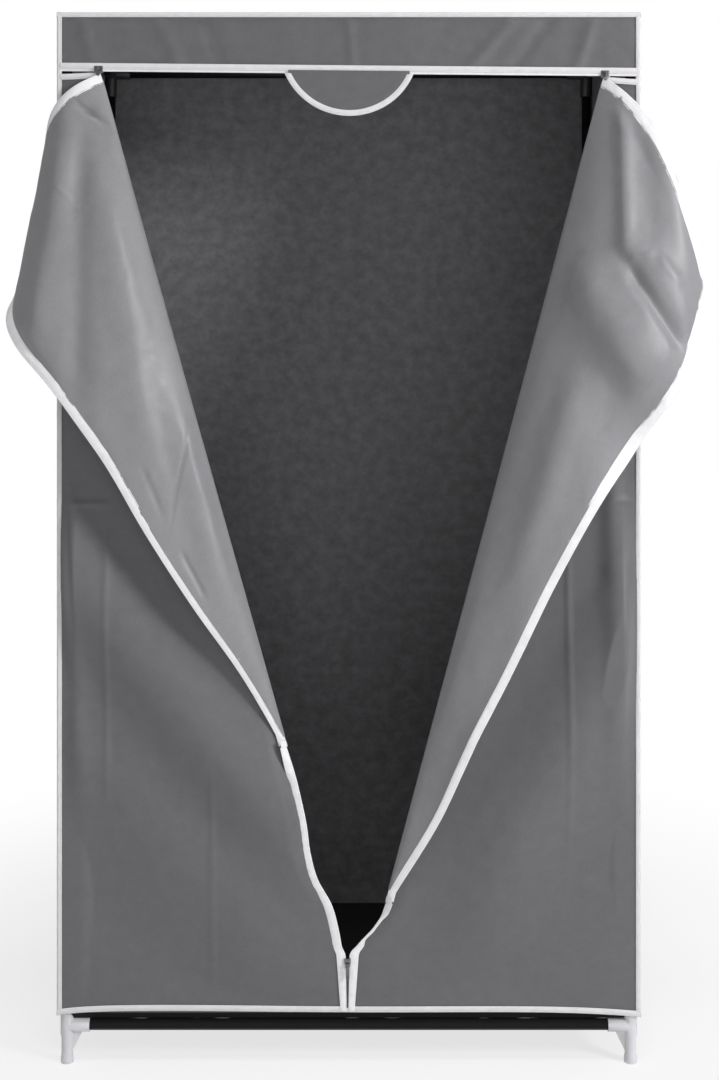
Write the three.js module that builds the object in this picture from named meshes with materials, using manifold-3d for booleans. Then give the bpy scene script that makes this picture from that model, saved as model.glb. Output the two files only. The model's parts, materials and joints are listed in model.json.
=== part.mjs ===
// Portable fabric wardrobe: a cloth cover with a zipped front over a frame of steel tubes.
// Lengths are in millimetres, +Z is up and the front faces -Y.
// The zipped front stands open, with its two flaps folded outward round the front corners.
import * as THREE from "three";
import { mergeVertices } from "three/addons/utils/BufferGeometryUtils.js";
import Module from "manifold-3d";

const wasm = await Module();
wasm.setup();

// Overall size
const COVER_WIDTH = 888;
const COVER_DEPTH = 460;
const OVERALL_HEIGHT = 1600;

// Cloth, bindings and seams
const CLOTH_THICKNESS = 1.2;
const BINDING_WIDTH = 8;
const BINDING_THICKNESS = 1.6;
const SEAM_GAP = 0.3;
const HEM_HEIGHT = 79;
const HEM_BINDING_WIDTH = 9;

// Frame tubes and plastic connectors
const TUBE_DIAMETER = 16;
const TUBE_WALL = 0.9;
const SOCKET_DIAMETER = 20.5;
const SOCKET_REACH = 35;
const SOCKET_SEAT = 21;
const BORE_CLEARANCE = 0.3;
const COVER_CLEARANCE = 0.6;
const BOTTOM_RAIL_HEIGHT = 56.5;
const FOOT_SLEEVE_HEIGHT = 92;
const FOOT_STEM_HEIGHT = 38;
const FOOT_STEM_RADIUS = 8.8;
const FOOT_BASE_RADIUS = 9.8;
const FOOT_BASE_HEIGHT = 6;
const STEM_SHOULDER = 7;
const GUSSET_REACH = 24;
const GUSSET_DROP = 31;
const GUSSET_THICKNESS = 4;
const TOP_SLEEVE_DROP = 42;
const COUPLER_HEIGHT = 545;
const COUPLER_LENGTH = 64;
const TUBE_END_GAP = 2;
const ROD_DROP = 20;
const BRACKET_WIDTH = 26;
const BRACKET_REACH = 30;
const BRACKET_WEB = 12;

// Front opening: the fold lines of the flaps and the zip down the middle
const ZIP_OFFSET = -2;
const LEFT_FOLD_INSET = 70;
const RIGHT_FOLD_INSET = 61;
const LEFT_FOLD_FOOT_OFFSET = 91;
const RIGHT_FOLD_FOOT_OFFSET = 57;
const LEFT_FOLD_FOOT_HEIGHT = 485;
const RIGHT_FOLD_FOOT_HEIGHT = 250;
const OPEN_ZIP_HEIGHT = 163;
const ZIP_TAPE_WIDTH = 9.5;
const OPENING_TAPE_WIDTH = 14;
const COIL_WIDTH = 3.6;
const COIL_THICKNESS = 2.2;
const COIL_GROOVE_WIDTH = 1.8;
const COIL_GROOVE_DEPTH = 1.2;
const TAPE_OVERLAP = 4;

// Valance across the top, with its zip tape and the round tab
const VALANCE_HEIGHT = 81;
const VALANCE_TILT_SHARE = 0.009;
const VALANCE_TAPE_WIDTH = 13;
const PANEL_TAPE_WIDTH = 9;
const PANEL_TOP_GAP = 3.6;
const PANEL_TAPE_STOP = 17;
const TAB_WIDTH = 196;
const TAB_DROP = 65;
const TAB_BINDING_WIDTH = 9;
const TAB_BEAD_RADIUS = 1.4;

// Flaps
const FLAP_TOP_DROP = 10;
const FLAP_TAPE_WIDTH = 17;
const FLAP_TAPE_THICKNESS = 1.4;
const FOLD_BEAD_RADIUS = 2.4;
const FOLD_CLEARANCE = 0.4;
const CURL_REACH = 60;
const ROW_STEP_SHARE = 0.125;
const LAST_ROW_SHARE = 0.955;
const FACING_STEP_SHARE = 0.00125;

// Zip sliders and pulls
const SLIDER_LENGTH = 13;
const SLIDER_HEIGHT = 11;
const SLIDER_LIP = 3;
const SLIDER_WALL = 1.4;
const SLIDER_CLEARANCE = 0.35;
const SLIDER_FOLD_OFFSET = 6;
const ZIP_SLIDER_WIDTH = 10;
const ZIP_SLIDER_HEIGHT = 12;
const ZIP_SLIDER_THICKNESS = 2.4;
const KEEL_WIDTH = 1.1;
const KEEL_DEPTH = 0.9;
const PIN_RADIUS = 0.8;
const PIN_STANDOFF = 3.1;
const EAR_WIDTH = 1.2;
const EAR_RADIUS = 1.7;
const EYE_RADIUS = 2.3;
const EYE_BORE_RADIUS = 1.15;
const EYE_WIDTH = 2.6;
const PULL_WIDTH = 5.4;
const PULL_THICKNESS = 1.4;
const PULL_NECK = 3.4;
const TOP_PULL_LENGTH = 11.5;
const ZIP_PULL_LENGTH = 22;
const PULL_HOLE_RADIUS = 1.4;
const PULL_CORNER = 1.35;
const SLIDER_TAPER = 2;
const ZIP_PIN_RISE = 4;

// Facets
const ROUND_SIDES = 16;
const SMALL_SIDES = 12;
const ARC_STEPS = 18;
const FLAP_ROWS = 18;
const FLAP_COLUMNS = 12;
const CUT_OVERRUN = 2;

// Places worked out from the sizes above
const HALF_WIDTH = COVER_WIDTH / 2;
const HALF_DEPTH = COVER_DEPTH / 2;
const CLOTH_INSET = BINDING_THICKNESS + SEAM_GAP;
const WALL_X = HALF_WIDTH - CLOTH_INSET;
const WALL_Y = HALF_DEPTH - CLOTH_INSET;
const ROOF_TOP = OVERALL_HEIGHT - CLOTH_INSET;
const WALL_TOP = ROOF_TOP - CLOTH_THICKNESS - SEAM_GAP;
const TUBE_RADIUS = TUBE_DIAMETER / 2;
const SOCKET_RADIUS = SOCKET_DIAMETER / 2;
const BORE_RADIUS = TUBE_RADIUS + BORE_CLEARANCE;
const POST_INSET = CLOTH_INSET + CLOTH_THICKNESS + COVER_CLEARANCE + SOCKET_RADIUS;
const POST_X = HALF_WIDTH - POST_INSET;
const POST_Y = HALF_DEPTH - POST_INSET;
const TOP_RAIL_HEIGHT = OVERALL_HEIGHT - POST_INSET;
const ROD_HEIGHT = TOP_RAIL_HEIGHT - ROD_DROP;
const SEAT_END = SOCKET_REACH - SOCKET_SEAT;
const BAND_BOTTOM = OVERALL_HEIGHT - VALANCE_HEIGHT - VALANCE_TAPE_WIDTH;
const FOLD_Y = -WALL_Y + CLOTH_THICKNESS / 2;

// Materials
const finish = (color, roughness, metalness = 0) => ({ color, roughness, metalness });
const GREY_CLOTH = finish(0x6b6a70, 0.9);
const INNER_CLOTH = finish(0x8a898e, 0.9);
const BLACK_CLOTH = finish(0x1c1c1e, 0.95);
const WHITE_TAPE = finish(0xe8e7ea, 0.85);
const BLACK_STEEL = finish(0x16161a, 0.4, 0.3);
const WHITE_PLASTIC = finish(0xdad8dc, 0.5);
const ZIP_METAL = finish(0xa9a9ae, 0.35, 0.8);

// A closed geometry as a solid for cutting and joining.
function solid(geometry) {
  const bare = geometry.index ? geometry.toNonIndexed() : geometry.clone();
  bare.deleteAttribute("normal");
  bare.deleteAttribute("uv");
  const merged = mergeVertices(bare);
  return new wasm.Manifold(
    new wasm.Mesh({
      numProp: 3,
      vertProperties: merged.attributes.position.array,
      triVerts: new Uint32Array(merged.index.array),
    }),
  );
}

// A solid back as a geometry.
function geometryOf(shape) {
  const mesh = shape.getMesh();
  return new THREE.BufferGeometry()
    .setAttribute("position", new THREE.BufferAttribute(mesh.vertProperties, 3))
    .setIndex(new THREE.BufferAttribute(mesh.triVerts, 1));
}

// Joins a list of solids.
const join = (shapes) => shapes.reduce((whole, shape) => whole.add(shape));

// A block between two corners.
function block(x0, x1, y0, y1, z0, z1) {
  const box = new THREE.BoxGeometry(x1 - x0, y1 - y0, z1 - z0);
  return box.translate((x0 + x1) / 2, (y0 + y1) / 2, (z0 + z1) / 2);
}

// An outline in the XZ plane, given thickness from y0 back to y1.
function upright(outline, y0, y1) {
  const shape = new THREE.Shape(outline.map(([x, z]) => new THREE.Vector2(x, z)));
  const plate = new THREE.ExtrudeGeometry(shape, { depth: y1 - y0, bevelEnabled: false });
  return plate.rotateX(Math.PI / 2).translate(0, y1, 0);
}

// A round bar from one point to another.
function bar(from, to, radius, sides = ROUND_SIDES) {
  const start = new THREE.Vector3(...from);
  const end = new THREE.Vector3(...to);
  const along = end.clone().sub(start);
  const cylinder = new THREE.CylinderGeometry(radius, radius, along.length(), sides);
  const turn = new THREE.Quaternion().setFromUnitVectors(
    new THREE.Vector3(0, 1, 0),
    along.clone().normalize(),
  );
  const middle = start.add(end).multiplyScalar(0.5);
  return cylinder.applyQuaternion(turn).translate(middle.x, middle.y, middle.z);
}

// A hollow round tube from one point to another.
function tube(from, to) {
  const along = new THREE.Vector3(...to).sub(new THREE.Vector3(...from)).normalize();
  const past = along.multiplyScalar(CUT_OVERRUN).toArray();
  const start = from.map((value, i) => value - past[i]);
  const end = to.map((value, i) => value + past[i]);
  const bore = bar(start, end, TUBE_RADIUS - TUBE_WALL);
  return geometryOf(solid(bar(from, to, TUBE_RADIUS)).subtract(solid(bore)));
}

const wardrobe = new THREE.Group();

// Adds one named piece to a group.
function add(name, geometry, look, group = wardrobe) {
  const mesh = new THREE.Mesh(geometry, new THREE.MeshStandardMaterial(look));
  mesh.name = name;
  group.add(mesh);
  return mesh;
}

const SIDES = [
  ["left", -1],
  ["right", 1],
];
const ENDS = [
  ["front", -1],
  ["rear", 1],
];

// The two level sockets of a corner connector, reaching inward from its post.
function cornerSockets(sx, sy, z) {
  const post = [sx * POST_X, sy * POST_Y, z];
  const alongX = [sx * (POST_X - SOCKET_REACH), sy * POST_Y, z];
  const alongY = [sx * POST_X, sy * (POST_Y - SOCKET_REACH), z];
  return [solid(bar(post, alongX, SOCKET_RADIUS)), solid(bar(post, alongY, SOCKET_RADIUS))];
}

// The bores of those sockets, from their mouths to their seats.
function cornerBores(sx, sy, z) {
  const seat = SEAT_END;
  const mouth = SOCKET_REACH + CUT_OVERRUN;
  const y = sy * POST_Y;
  const x = sx * POST_X;
  return join([
    solid(bar([sx * (POST_X - seat), y, z], [sx * (POST_X - mouth), y, z], BORE_RADIUS)),
    solid(bar([x, sy * (POST_Y - seat), z], [x, sy * (POST_Y - mouth), z], BORE_RADIUS)),
  ]);
}

// The web under a foot's socket that carries it on the stem.
function gusset(sx, sy, alongX) {
  const top = BOTTOM_RAIL_HEIGHT - SOCKET_RADIUS + CUT_OVERRUN;
  const foot = top - GUSSET_DROP;
  const outline = [
    [0, foot],
    [FOOT_STEM_RADIUS, foot],
    [GUSSET_REACH, top],
    [0, top],
  ];
  const web = upright(outline, -GUSSET_THICKNESS / 2, GUSSET_THICKNESS / 2);
  const towards = alongX ? (sx > 0 ? Math.PI : 0) : (-sy * Math.PI) / 2;
  return solid(web.rotateZ(towards).translate(sx * POST_X, sy * POST_Y, 0));
}

// A foot: a stem on the floor, a sleeve for the post and two sockets for the bottom rails.
function foot(sx, sy) {
  const profile = [
    [0, 0],
    [FOOT_BASE_RADIUS, 0],
    [FOOT_BASE_RADIUS, FOOT_BASE_HEIGHT],
    [FOOT_STEM_RADIUS, FOOT_BASE_HEIGHT + STEM_SHOULDER],
    [FOOT_STEM_RADIUS, FOOT_STEM_HEIGHT],
    [SOCKET_RADIUS, FOOT_STEM_HEIGHT + STEM_SHOULDER],
    [SOCKET_RADIUS, FOOT_SLEEVE_HEIGHT],
    [0, FOOT_SLEEVE_HEIGHT],
  ].map(([r, z]) => new THREE.Vector2(r, z));
  const stem = new THREE.LatheGeometry(profile, ROUND_SIDES).rotateX(Math.PI / 2);
  stem.translate(sx * POST_X, sy * POST_Y, 0);
  const postBore = bar(
    [sx * POST_X, sy * POST_Y, POST_FOOT],
    [sx * POST_X, sy * POST_Y, FOOT_SLEEVE_HEIGHT + CUT_OVERRUN],
    BORE_RADIUS,
  );
  const body = join([
    solid(stem),
    ...cornerSockets(sx, sy, BOTTOM_RAIL_HEIGHT),
    gusset(sx, sy, true),
    gusset(sx, sy, false),
  ]);
  return geometryOf(
    body.subtract(solid(postBore)).subtract(cornerBores(sx, sy, BOTTOM_RAIL_HEIGHT)),
  );
}

// A top corner: a sleeve over the post and two sockets for the top rails.
function topCorner(sx, sy) {
  const x = sx * POST_X;
  const y = sy * POST_Y;
  const sleeve = bar(
    [x, y, TOP_RAIL_HEIGHT - TOP_SLEEVE_DROP],
    [x, y, TOP_RAIL_HEIGHT + SOCKET_RADIUS],
    SOCKET_RADIUS,
  );
  const bore = bar(
    [x, y, TOP_RAIL_HEIGHT - TOP_SLEEVE_DROP - CUT_OVERRUN],
    [x, y, POST_HEAD],
    BORE_RADIUS,
  );
  const body = join([solid(sleeve), ...cornerSockets(sx, sy, TOP_RAIL_HEIGHT)]);
  return geometryOf(body.subtract(solid(bore)).subtract(cornerBores(sx, sy, TOP_RAIL_HEIGHT)));
}

const POST_FOOT = FOOT_STEM_HEIGHT + STEM_SHOULDER;
const POST_HEAD = TOP_RAIL_HEIGHT - SEAT_END;

// The four posts, each of two tubes in a mid coupler, with a foot and a top corner.
function addPosts() {
  for (const [end, sy] of ENDS) {
    for (const [side, sx] of SIDES) {
      const corner = `${end}_${side}`;
      const x = sx * POST_X;
      const y = sy * POST_Y;
      const below = COUPLER_HEIGHT - TUBE_END_GAP / 2;
      const above = COUPLER_HEIGHT + TUBE_END_GAP / 2;
      const couplerFoot = COUPLER_HEIGHT - COUPLER_LENGTH / 2;
      const couplerHead = COUPLER_HEIGHT + COUPLER_LENGTH / 2;
      const sleeve = solid(bar([x, y, couplerFoot], [x, y, couplerHead], SOCKET_RADIUS));
      const bore = bar(
        [x, y, couplerFoot - CUT_OVERRUN],
        [x, y, couplerHead + CUT_OVERRUN],
        BORE_RADIUS,
      );
      add(`foot_${corner}`, foot(sx, sy), WHITE_PLASTIC);
      add(`lower_post_${corner}`, tube([x, y, POST_FOOT + BORE_CLEARANCE], [x, y, below]), BLACK_STEEL);
      add(`post_coupler_${corner}`, geometryOf(sleeve.subtract(solid(bore))), WHITE_PLASTIC);
      add(`upper_post_${corner}`, tube([x, y, above], [x, y, POST_HEAD - BORE_CLEARANCE]), BLACK_STEEL);
      add(`top_corner_${corner}`, topCorner(sx, sy), WHITE_PLASTIC);
    }
  }
}

// The level rails between the corners, at the top and at the bottom.
function addRails() {
  const halfX = POST_X - SEAT_END - BORE_CLEARANCE;
  const halfY = POST_Y - SEAT_END - BORE_CLEARANCE;
  for (const [level, z] of [
    ["top", TOP_RAIL_HEIGHT],
    ["bottom", BOTTOM_RAIL_HEIGHT],
  ]) {
    for (const [end, sy] of ENDS) {
      const y = sy * POST_Y;
      add(`${level}_rail_${end}`, tube([-halfX, y, z], [halfX, y, z]), BLACK_STEEL);
    }
    for (const [side, sx] of SIDES) {
      const x = sx * POST_X;
      add(`${level}_rail_${side}`, tube([x, -halfY, z], [x, halfY, z]), BLACK_STEEL);
    }
  }
}

// A bracket that slips on a top side rail and holds the hanging rod below it.
function rodBracket(sx) {
  const x = sx * POST_X;
  const inner = sx * (POST_X - BRACKET_REACH);
  const seat = sx * (POST_X - BRACKET_REACH + SOCKET_SEAT);
  const outer = sx * (POST_X + TUBE_RADIUS);
  const half = BRACKET_WIDTH / 2;
  const past = half + CUT_OVERRUN;
  const collar = bar([x, -half, TOP_RAIL_HEIGHT], [x, half, TOP_RAIL_HEIGHT], SOCKET_RADIUS);
  const socket = bar([outer, 0, ROD_HEIGHT], [inner, 0, ROD_HEIGHT], SOCKET_RADIUS);
  const web = block(
    x - TUBE_RADIUS,
    x + TUBE_RADIUS,
    -BRACKET_WEB / 2,
    BRACKET_WEB / 2,
    ROD_HEIGHT,
    TOP_RAIL_HEIGHT,
  );
  const railBore = bar([x, -past, TOP_RAIL_HEIGHT], [x, past, TOP_RAIL_HEIGHT], BORE_RADIUS);
  const rodBore = bar([seat, 0, ROD_HEIGHT], [inner - sx * CUT_OVERRUN, 0, ROD_HEIGHT], BORE_RADIUS);
  const body = join([solid(collar), solid(socket), solid(web)]);
  return geometryOf(body.subtract(solid(railBore)).subtract(solid(rodBore)));
}

// The hanging rod between its two brackets.
function addHangingRod() {
  for (const [side, sx] of SIDES) add(`rod_bracket_${side}`, rodBracket(sx), WHITE_PLASTIC);
  const half = POST_X - BRACKET_REACH + SOCKET_SEAT - BORE_CLEARANCE;
  add("hanging_rod", tube([-half, 0, ROD_HEIGHT], [half, 0, ROD_HEIGHT]), BLACK_STEEL);
}

// The base shelf: a cloth laid on the bottom rails, notched round the four posts.
function baseShelf() {
  const z = BOTTOM_RAIL_HEIGHT + SOCKET_RADIUS + SEAM_GAP;
  const edgeX = WALL_X - CLOTH_THICKNESS - SEAM_GAP;
  const edgeY = WALL_Y - CLOTH_THICKNESS - SEAM_GAP;
  const notchX = POST_X - SOCKET_RADIUS - COVER_CLEARANCE;
  const notchY = POST_Y - SOCKET_RADIUS - COVER_CLEARANCE;
  const top = z + CLOTH_THICKNESS;
  const past = CUT_OVERRUN;
  const notches = ENDS.flatMap(([, sy]) =>
    SIDES.map(([, sx]) => {
      const xs = [sx * notchX, sx * (edgeX + past)].sort((a, b) => a - b);
      const ys = [sy * notchY, sy * (edgeY + past)].sort((a, b) => a - b);
      return solid(block(...xs, ...ys, z - past, top + past));
    }),
  );
  const sheet = solid(block(-edgeX, edgeX, -edgeY, edgeY, z, top));
  return geometryOf(sheet.subtract(join(notches)));
}

// The lower edge of the zip tape across the front, which drops a little to the right.
const bandBottom = (x) => BAND_BOTTOM - VALANCE_TILT_SHARE * x;

// The top and the foot of each fold line, in the plane of the front.
const foldTop = (sx) => {
  const x = sx * (HALF_WIDTH - (sx < 0 ? LEFT_FOLD_INSET : RIGHT_FOLD_INSET));
  return new THREE.Vector3(x, FOLD_Y, bandBottom(x) - FLAP_TOP_DROP);
};
const foldFoot = (sx) => {
  const offset = sx < 0 ? LEFT_FOLD_FOOT_OFFSET : RIGHT_FOLD_FOOT_OFFSET;
  const height = sx < 0 ? LEFT_FOLD_FOOT_HEIGHT : RIGHT_FOLD_FOOT_HEIGHT;
  return new THREE.Vector3(ZIP_OFFSET + sx * offset, FOLD_Y, height);
};

// The plain walls of the cover and its roof.
function addWalls() {
  const inner = CLOTH_THICKNESS;
  const sideY = WALL_Y - CLOTH_THICKNESS - SEAM_GAP;
  const roof = block(-WALL_X, WALL_X, -WALL_Y, WALL_Y, ROOF_TOP - inner, ROOF_TOP);
  const back = block(-WALL_X, WALL_X, WALL_Y - inner, WALL_Y, HEM_HEIGHT, WALL_TOP);
  add("base_shelf", baseShelf(), BLACK_CLOTH);
  add("roof_panel", roof, GREY_CLOTH);
  add("back_panel", back, GREY_CLOTH);
  for (const [side, sx] of SIDES) {
    const xs = [sx * WALL_X, sx * (WALL_X - inner)].sort((a, b) => a - b);
    add(`side_panel_${side}`, block(...xs, -sideY, sideY, HEM_HEIGHT, WALL_TOP), GREY_CLOTH);
  }
}

// A front panel: from the corner to the fold line, then to the zip, down to the hem.
function frontPanel(sx) {
  const top = foldTop(sx);
  const low = foldFoot(sx);
  const along = low.clone().sub(top).normalize();
  const away = new THREE.Vector3(sx * Math.abs(along.z), 0, -Math.abs(along.x));
  away.multiplyScalar(FOLD_BEAD_RADIUS + FOLD_CLEARANCE);
  const rise = along.clone().multiplyScalar((bandBottom(top.x) - PANEL_TOP_GAP - top.z) / along.z);
  const head = top.clone().add(away).add(rise);
  const knee = low.clone().add(away);
  const wall = sx * WALL_X;
  const zipSide = ZIP_OFFSET + sx * (COIL_WIDTH / 2 + SEAM_GAP + ZIP_TAPE_WIDTH - TAPE_OVERLAP);
  const outline = [
    [wall, HEM_HEIGHT],
    [wall, bandBottom(wall) - PANEL_TOP_GAP],
    [head.x, head.z],
    [knee.x + sx * TAPE_OVERLAP, knee.z],
    [zipSide + sx * TAPE_OVERLAP, OPEN_ZIP_HEIGHT],
    [zipSide, OPEN_ZIP_HEIGHT - OPENING_TAPE_WIDTH],
    [zipSide, HEM_HEIGHT],
  ];
  return upright(outline, -WALL_Y, -WALL_Y + CLOTH_THICKNESS);
}

// The tape on a panel's free edge, from the foot of the fold down the zip to the hem.
function openingTape(sx) {
  const low = foldFoot(sx);
  const inner = ZIP_OFFSET + sx * (COIL_WIDTH / 2 + SEAM_GAP);
  const outer = inner + sx * ZIP_TAPE_WIDTH;
  const foot = HEM_HEIGHT + HEM_BINDING_WIDTH + SEAM_GAP;
  const outline = [
    [inner, foot],
    [inner, OPEN_ZIP_HEIGHT],
    [low.x, low.z],
    [low.x + sx * OPENING_TAPE_WIDTH, low.z],
    [outer + sx * TAPE_OVERLAP, OPEN_ZIP_HEIGHT],
    [outer, OPEN_ZIP_HEIGHT - OPENING_TAPE_WIDTH],
    [outer, foot],
  ];
  return upright(outline, -HALF_DEPTH, -HALF_DEPTH + BINDING_THICKNESS);
}

// The tail of a panel's top tape, between the corner and the end of the zip.
function panelTopTape(sx) {
  const outer = sx * (HALF_WIDTH - BINDING_WIDTH - SEAM_GAP);
  const inner = foldTop(sx).x + sx * PANEL_TAPE_STOP;
  const high = (x) => bandBottom(x) - PANEL_TOP_GAP;
  const outline = [
    [outer, high(outer) - PANEL_TAPE_WIDTH],
    [outer, high(outer)],
    [inner, high(inner)],
    [inner, high(inner) - PANEL_TAPE_WIDTH],
  ];
  return upright(outline, -HALF_DEPTH, -HALF_DEPTH + BINDING_THICKNESS);
}

// The valance over the opening.
function valance() {
  const lap = VALANCE_TAPE_WIDTH - TAPE_OVERLAP;
  const outline = [
    [-WALL_X, bandBottom(-WALL_X) + lap],
    [WALL_X, bandBottom(WALL_X) + lap],
    [WALL_X, WALL_TOP],
    [-WALL_X, WALL_TOP],
  ];
  return upright(outline, -WALL_Y, -WALL_Y + CLOTH_THICKNESS);
}

// The closed zip below the centre slider: a ridge with a groove that the slider's keel runs in.
function zipCoil() {
  const front = -HALF_DEPTH - (COIL_THICKNESS - BINDING_THICKNESS);
  const foot = HEM_HEIGHT + HEM_BINDING_WIDTH + SEAM_GAP;
  const half = COIL_WIDTH / 2;
  const groove = COIL_GROOVE_WIDTH / 2;
  const x = ZIP_OFFSET;
  const ridge = block(x - half, x + half, front, front + COIL_THICKNESS, foot, OPEN_ZIP_HEIGHT);
  const channel = block(
    x - groove,
    x + groove,
    front - CUT_OVERRUN,
    front + COIL_GROOVE_DEPTH,
    foot - CUT_OVERRUN,
    OPEN_ZIP_HEIGHT + CUT_OVERRUN,
  );
  return geometryOf(solid(ridge).subtract(solid(channel)));
}

// The front below the valance, with its tapes.
function addFront() {
  add("valance", valance(), GREY_CLOTH);
  for (const [side, sx] of SIDES) {
    add(`front_panel_${side}`, frontPanel(sx), GREY_CLOTH);
    add(`opening_tape_${side}`, openingTape(sx), WHITE_TAPE);
    add(`panel_top_tape_${side}`, panelTopTape(sx), WHITE_TAPE);
  }
  add("zip_coil", zipCoil(), WHITE_TAPE);
}

// A rectangular ring between an outer rectangle and the same drawn in by a width.
function ring(halfX, halfY, width, z0, z1) {
  const outer = solid(block(-halfX, halfX, -halfY, halfY, z0, z1));
  const innerX = halfX - width;
  const innerY = halfY - width;
  const past = CUT_OVERRUN;
  return outer.subtract(solid(block(-innerX, innerX, -innerY, innerY, z0 - past, z1 + past)));
}

// The white binding over the roof's edges and down the four corner seams.
function edgeBinding() {
  const top = OVERALL_HEIGHT;
  const foot = HEM_HEIGHT + HEM_BINDING_WIDTH + SEAM_GAP;
  const crown = ring(HALF_WIDTH, HALF_DEPTH, BINDING_WIDTH, top - BINDING_THICKNESS, top);
  const skirt = ring(HALF_WIDTH, HALF_DEPTH, BINDING_THICKNESS, top - BINDING_WIDTH, top);
  const corners = ENDS.flatMap(([, sy]) =>
    SIDES.map(([, sx]) => {
      const outerX = sx * HALF_WIDTH;
      const outerY = sy * HALF_DEPTH;
      const wide = (edge, s) => [edge, edge - s * BINDING_WIDTH].sort((a, b) => a - b);
      const thin = (edge, s) => [edge, edge - s * BINDING_THICKNESS].sort((a, b) => a - b);
      const frontLeg = block(...wide(outerX, sx), ...thin(outerY, sy), foot, top);
      const sideLeg = block(...thin(outerX, sx), ...wide(outerY, sy), foot, top);
      return solid(frontLeg).add(solid(sideLeg));
    }),
  );
  return geometryOf(join([crown, skirt, ...corners]));
}

// The bindings of the roof's edges and corner seams, and of the hem.
function addBindings() {
  const hemTop = HEM_HEIGHT + HEM_BINDING_WIDTH;
  const hem = ring(HALF_WIDTH, HALF_DEPTH, BINDING_THICKNESS, HEM_HEIGHT, hemTop);
  add("edge_binding", edgeBinding(), WHITE_TAPE);
  add("hem_binding", geometryOf(hem), WHITE_TAPE);
}

// Two ears and a pin on a slider's face, for its pull.
function pinAndEars(faceY, z) {
  const y = faceY - PIN_STANDOFF;
  const gap = EYE_WIDTH / 2 + BORE_CLEARANCE;
  const ears = [-1, 1].map((s) => {
    const xs = [s * gap, s * (gap + EAR_WIDTH)].sort((a, b) => a - b);
    const root = faceY + SLIDER_WALL / 2;
    return solid(block(...xs, y - PIN_RADIUS, root, z - EAR_RADIUS, z + EAR_RADIUS));
  });
  const reach = gap + EAR_WIDTH / 2;
  return join([...ears, solid(bar([-reach, y, z], [reach, y, z], PIN_RADIUS, SMALL_SIDES))]);
}

// A pull hanging from its pin at the origin: an eye, a neck and a plate with a hole.
function pull(length) {
  const half = EYE_WIDTH / 2;
  const eye = solid(bar([-half, 0, 0], [half, 0, 0], EYE_RADIUS, SMALL_SIDES));
  const bore = bar([-EYE_WIDTH, 0, 0], [EYE_WIDTH, 0, 0], EYE_BORE_RADIUS, SMALL_SIDES);
  const wide = PULL_WIDTH / 2;
  const outline = [
    [-half, -EYE_BORE_RADIUS],
    [-half, -PULL_NECK],
    [-wide, -PULL_NECK - PULL_CORNER],
    [-wide, -length + PULL_CORNER],
    [-wide + PULL_CORNER, -length],
    [wide - PULL_CORNER, -length],
    [wide, -length + PULL_CORNER],
    [wide, -PULL_NECK - PULL_CORNER],
    [half, -PULL_NECK],
    [half, -EYE_BORE_RADIUS],
  ];
  const plate = upright(outline, -PULL_THICKNESS / 2, PULL_THICKNESS / 2);
  const holeZ = -length + PULL_WIDTH / 2;
  const hole = bar(
    [0, -PULL_THICKNESS, holeZ],
    [0, PULL_THICKNESS, holeZ],
    PULL_HOLE_RADIUS,
    SMALL_SIDES,
  );
  return geometryOf(eye.add(solid(plate)).subtract(solid(bore)).subtract(solid(hole)));
}

// A slider that grips the lower edge of the valance's zip tape, seen with that edge at z = 0.
function topSlider() {
  const half = SLIDER_LENGTH / 2;
  const slotFront = -HALF_DEPTH - SLIDER_CLEARANCE;
  const slotBack = -HALF_DEPTH + BINDING_THICKNESS + SLIDER_CLEARANCE;
  const front = slotFront - SLIDER_WALL;
  const back = slotBack + SLIDER_WALL;
  const high = SLIDER_HEIGHT - SLIDER_LIP;
  const shell = block(-half, half, front, back, -SLIDER_LIP, high);
  const slot = block(
    -half - CUT_OVERRUN,
    half + CUT_OVERRUN,
    slotFront,
    slotBack,
    -SLIDER_CLEARANCE,
    high + CUT_OVERRUN,
  );
  const body = solid(shell).subtract(solid(slot));
  return geometryOf(body.add(pinAndEars(front, TOP_PIN_RISE)));
}

const TOP_PIN_RISE = (SLIDER_HEIGHT - SLIDER_LIP) / 2;
const TOP_PIN_Y = -HALF_DEPTH - SLIDER_CLEARANCE - SLIDER_WALL - PIN_STANDOFF;

// The round tab below the zip tape: a cloth in a bound rim, turning on the bead along its top.
function addTab(group) {
  const half = TAB_WIDTH / 2;
  const radius = (half * half + TAB_DROP * TAB_DROP) / (2 * TAB_DROP);
  const centre = radius - TAB_DROP;
  const inside = radius - TAB_BINDING_WIDTH;
  const arc = (r) => {
    const sweep = Math.acos(centre / r);
    return Array.from({ length: ARC_STEPS + 1 }, (_, i) => {
      const angle = -sweep + (2 * sweep * i) / ARC_STEPS;
      return [r * Math.sin(angle), centre - r * Math.cos(angle)];
    });
  };
  const y = -HALF_DEPTH - SEAM_GAP - TAB_BEAD_RADIUS;
  const cloth = upright(arc(inside - SEAM_GAP), y - CLOTH_THICKNESS / 2, y + CLOTH_THICKNESS / 2);
  const rim = upright(
    [...arc(radius), ...arc(inside).reverse()],
    y - BINDING_THICKNESS / 2,
    y + BINDING_THICKNESS / 2,
  );
  const beadEnd = arc(inside - SEAM_GAP)[ARC_STEPS][0] - TAB_BEAD_RADIUS;
  const bead = bar([-beadEnd, y, 0], [beadEnd, y, 0], TAB_BEAD_RADIUS, SMALL_SIDES);
  add("tab", geometryOf(solid(cloth).add(solid(bead))), GREY_CLOTH, group);
  add("tab_binding", rim, WHITE_TAPE, group);
}

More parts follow.
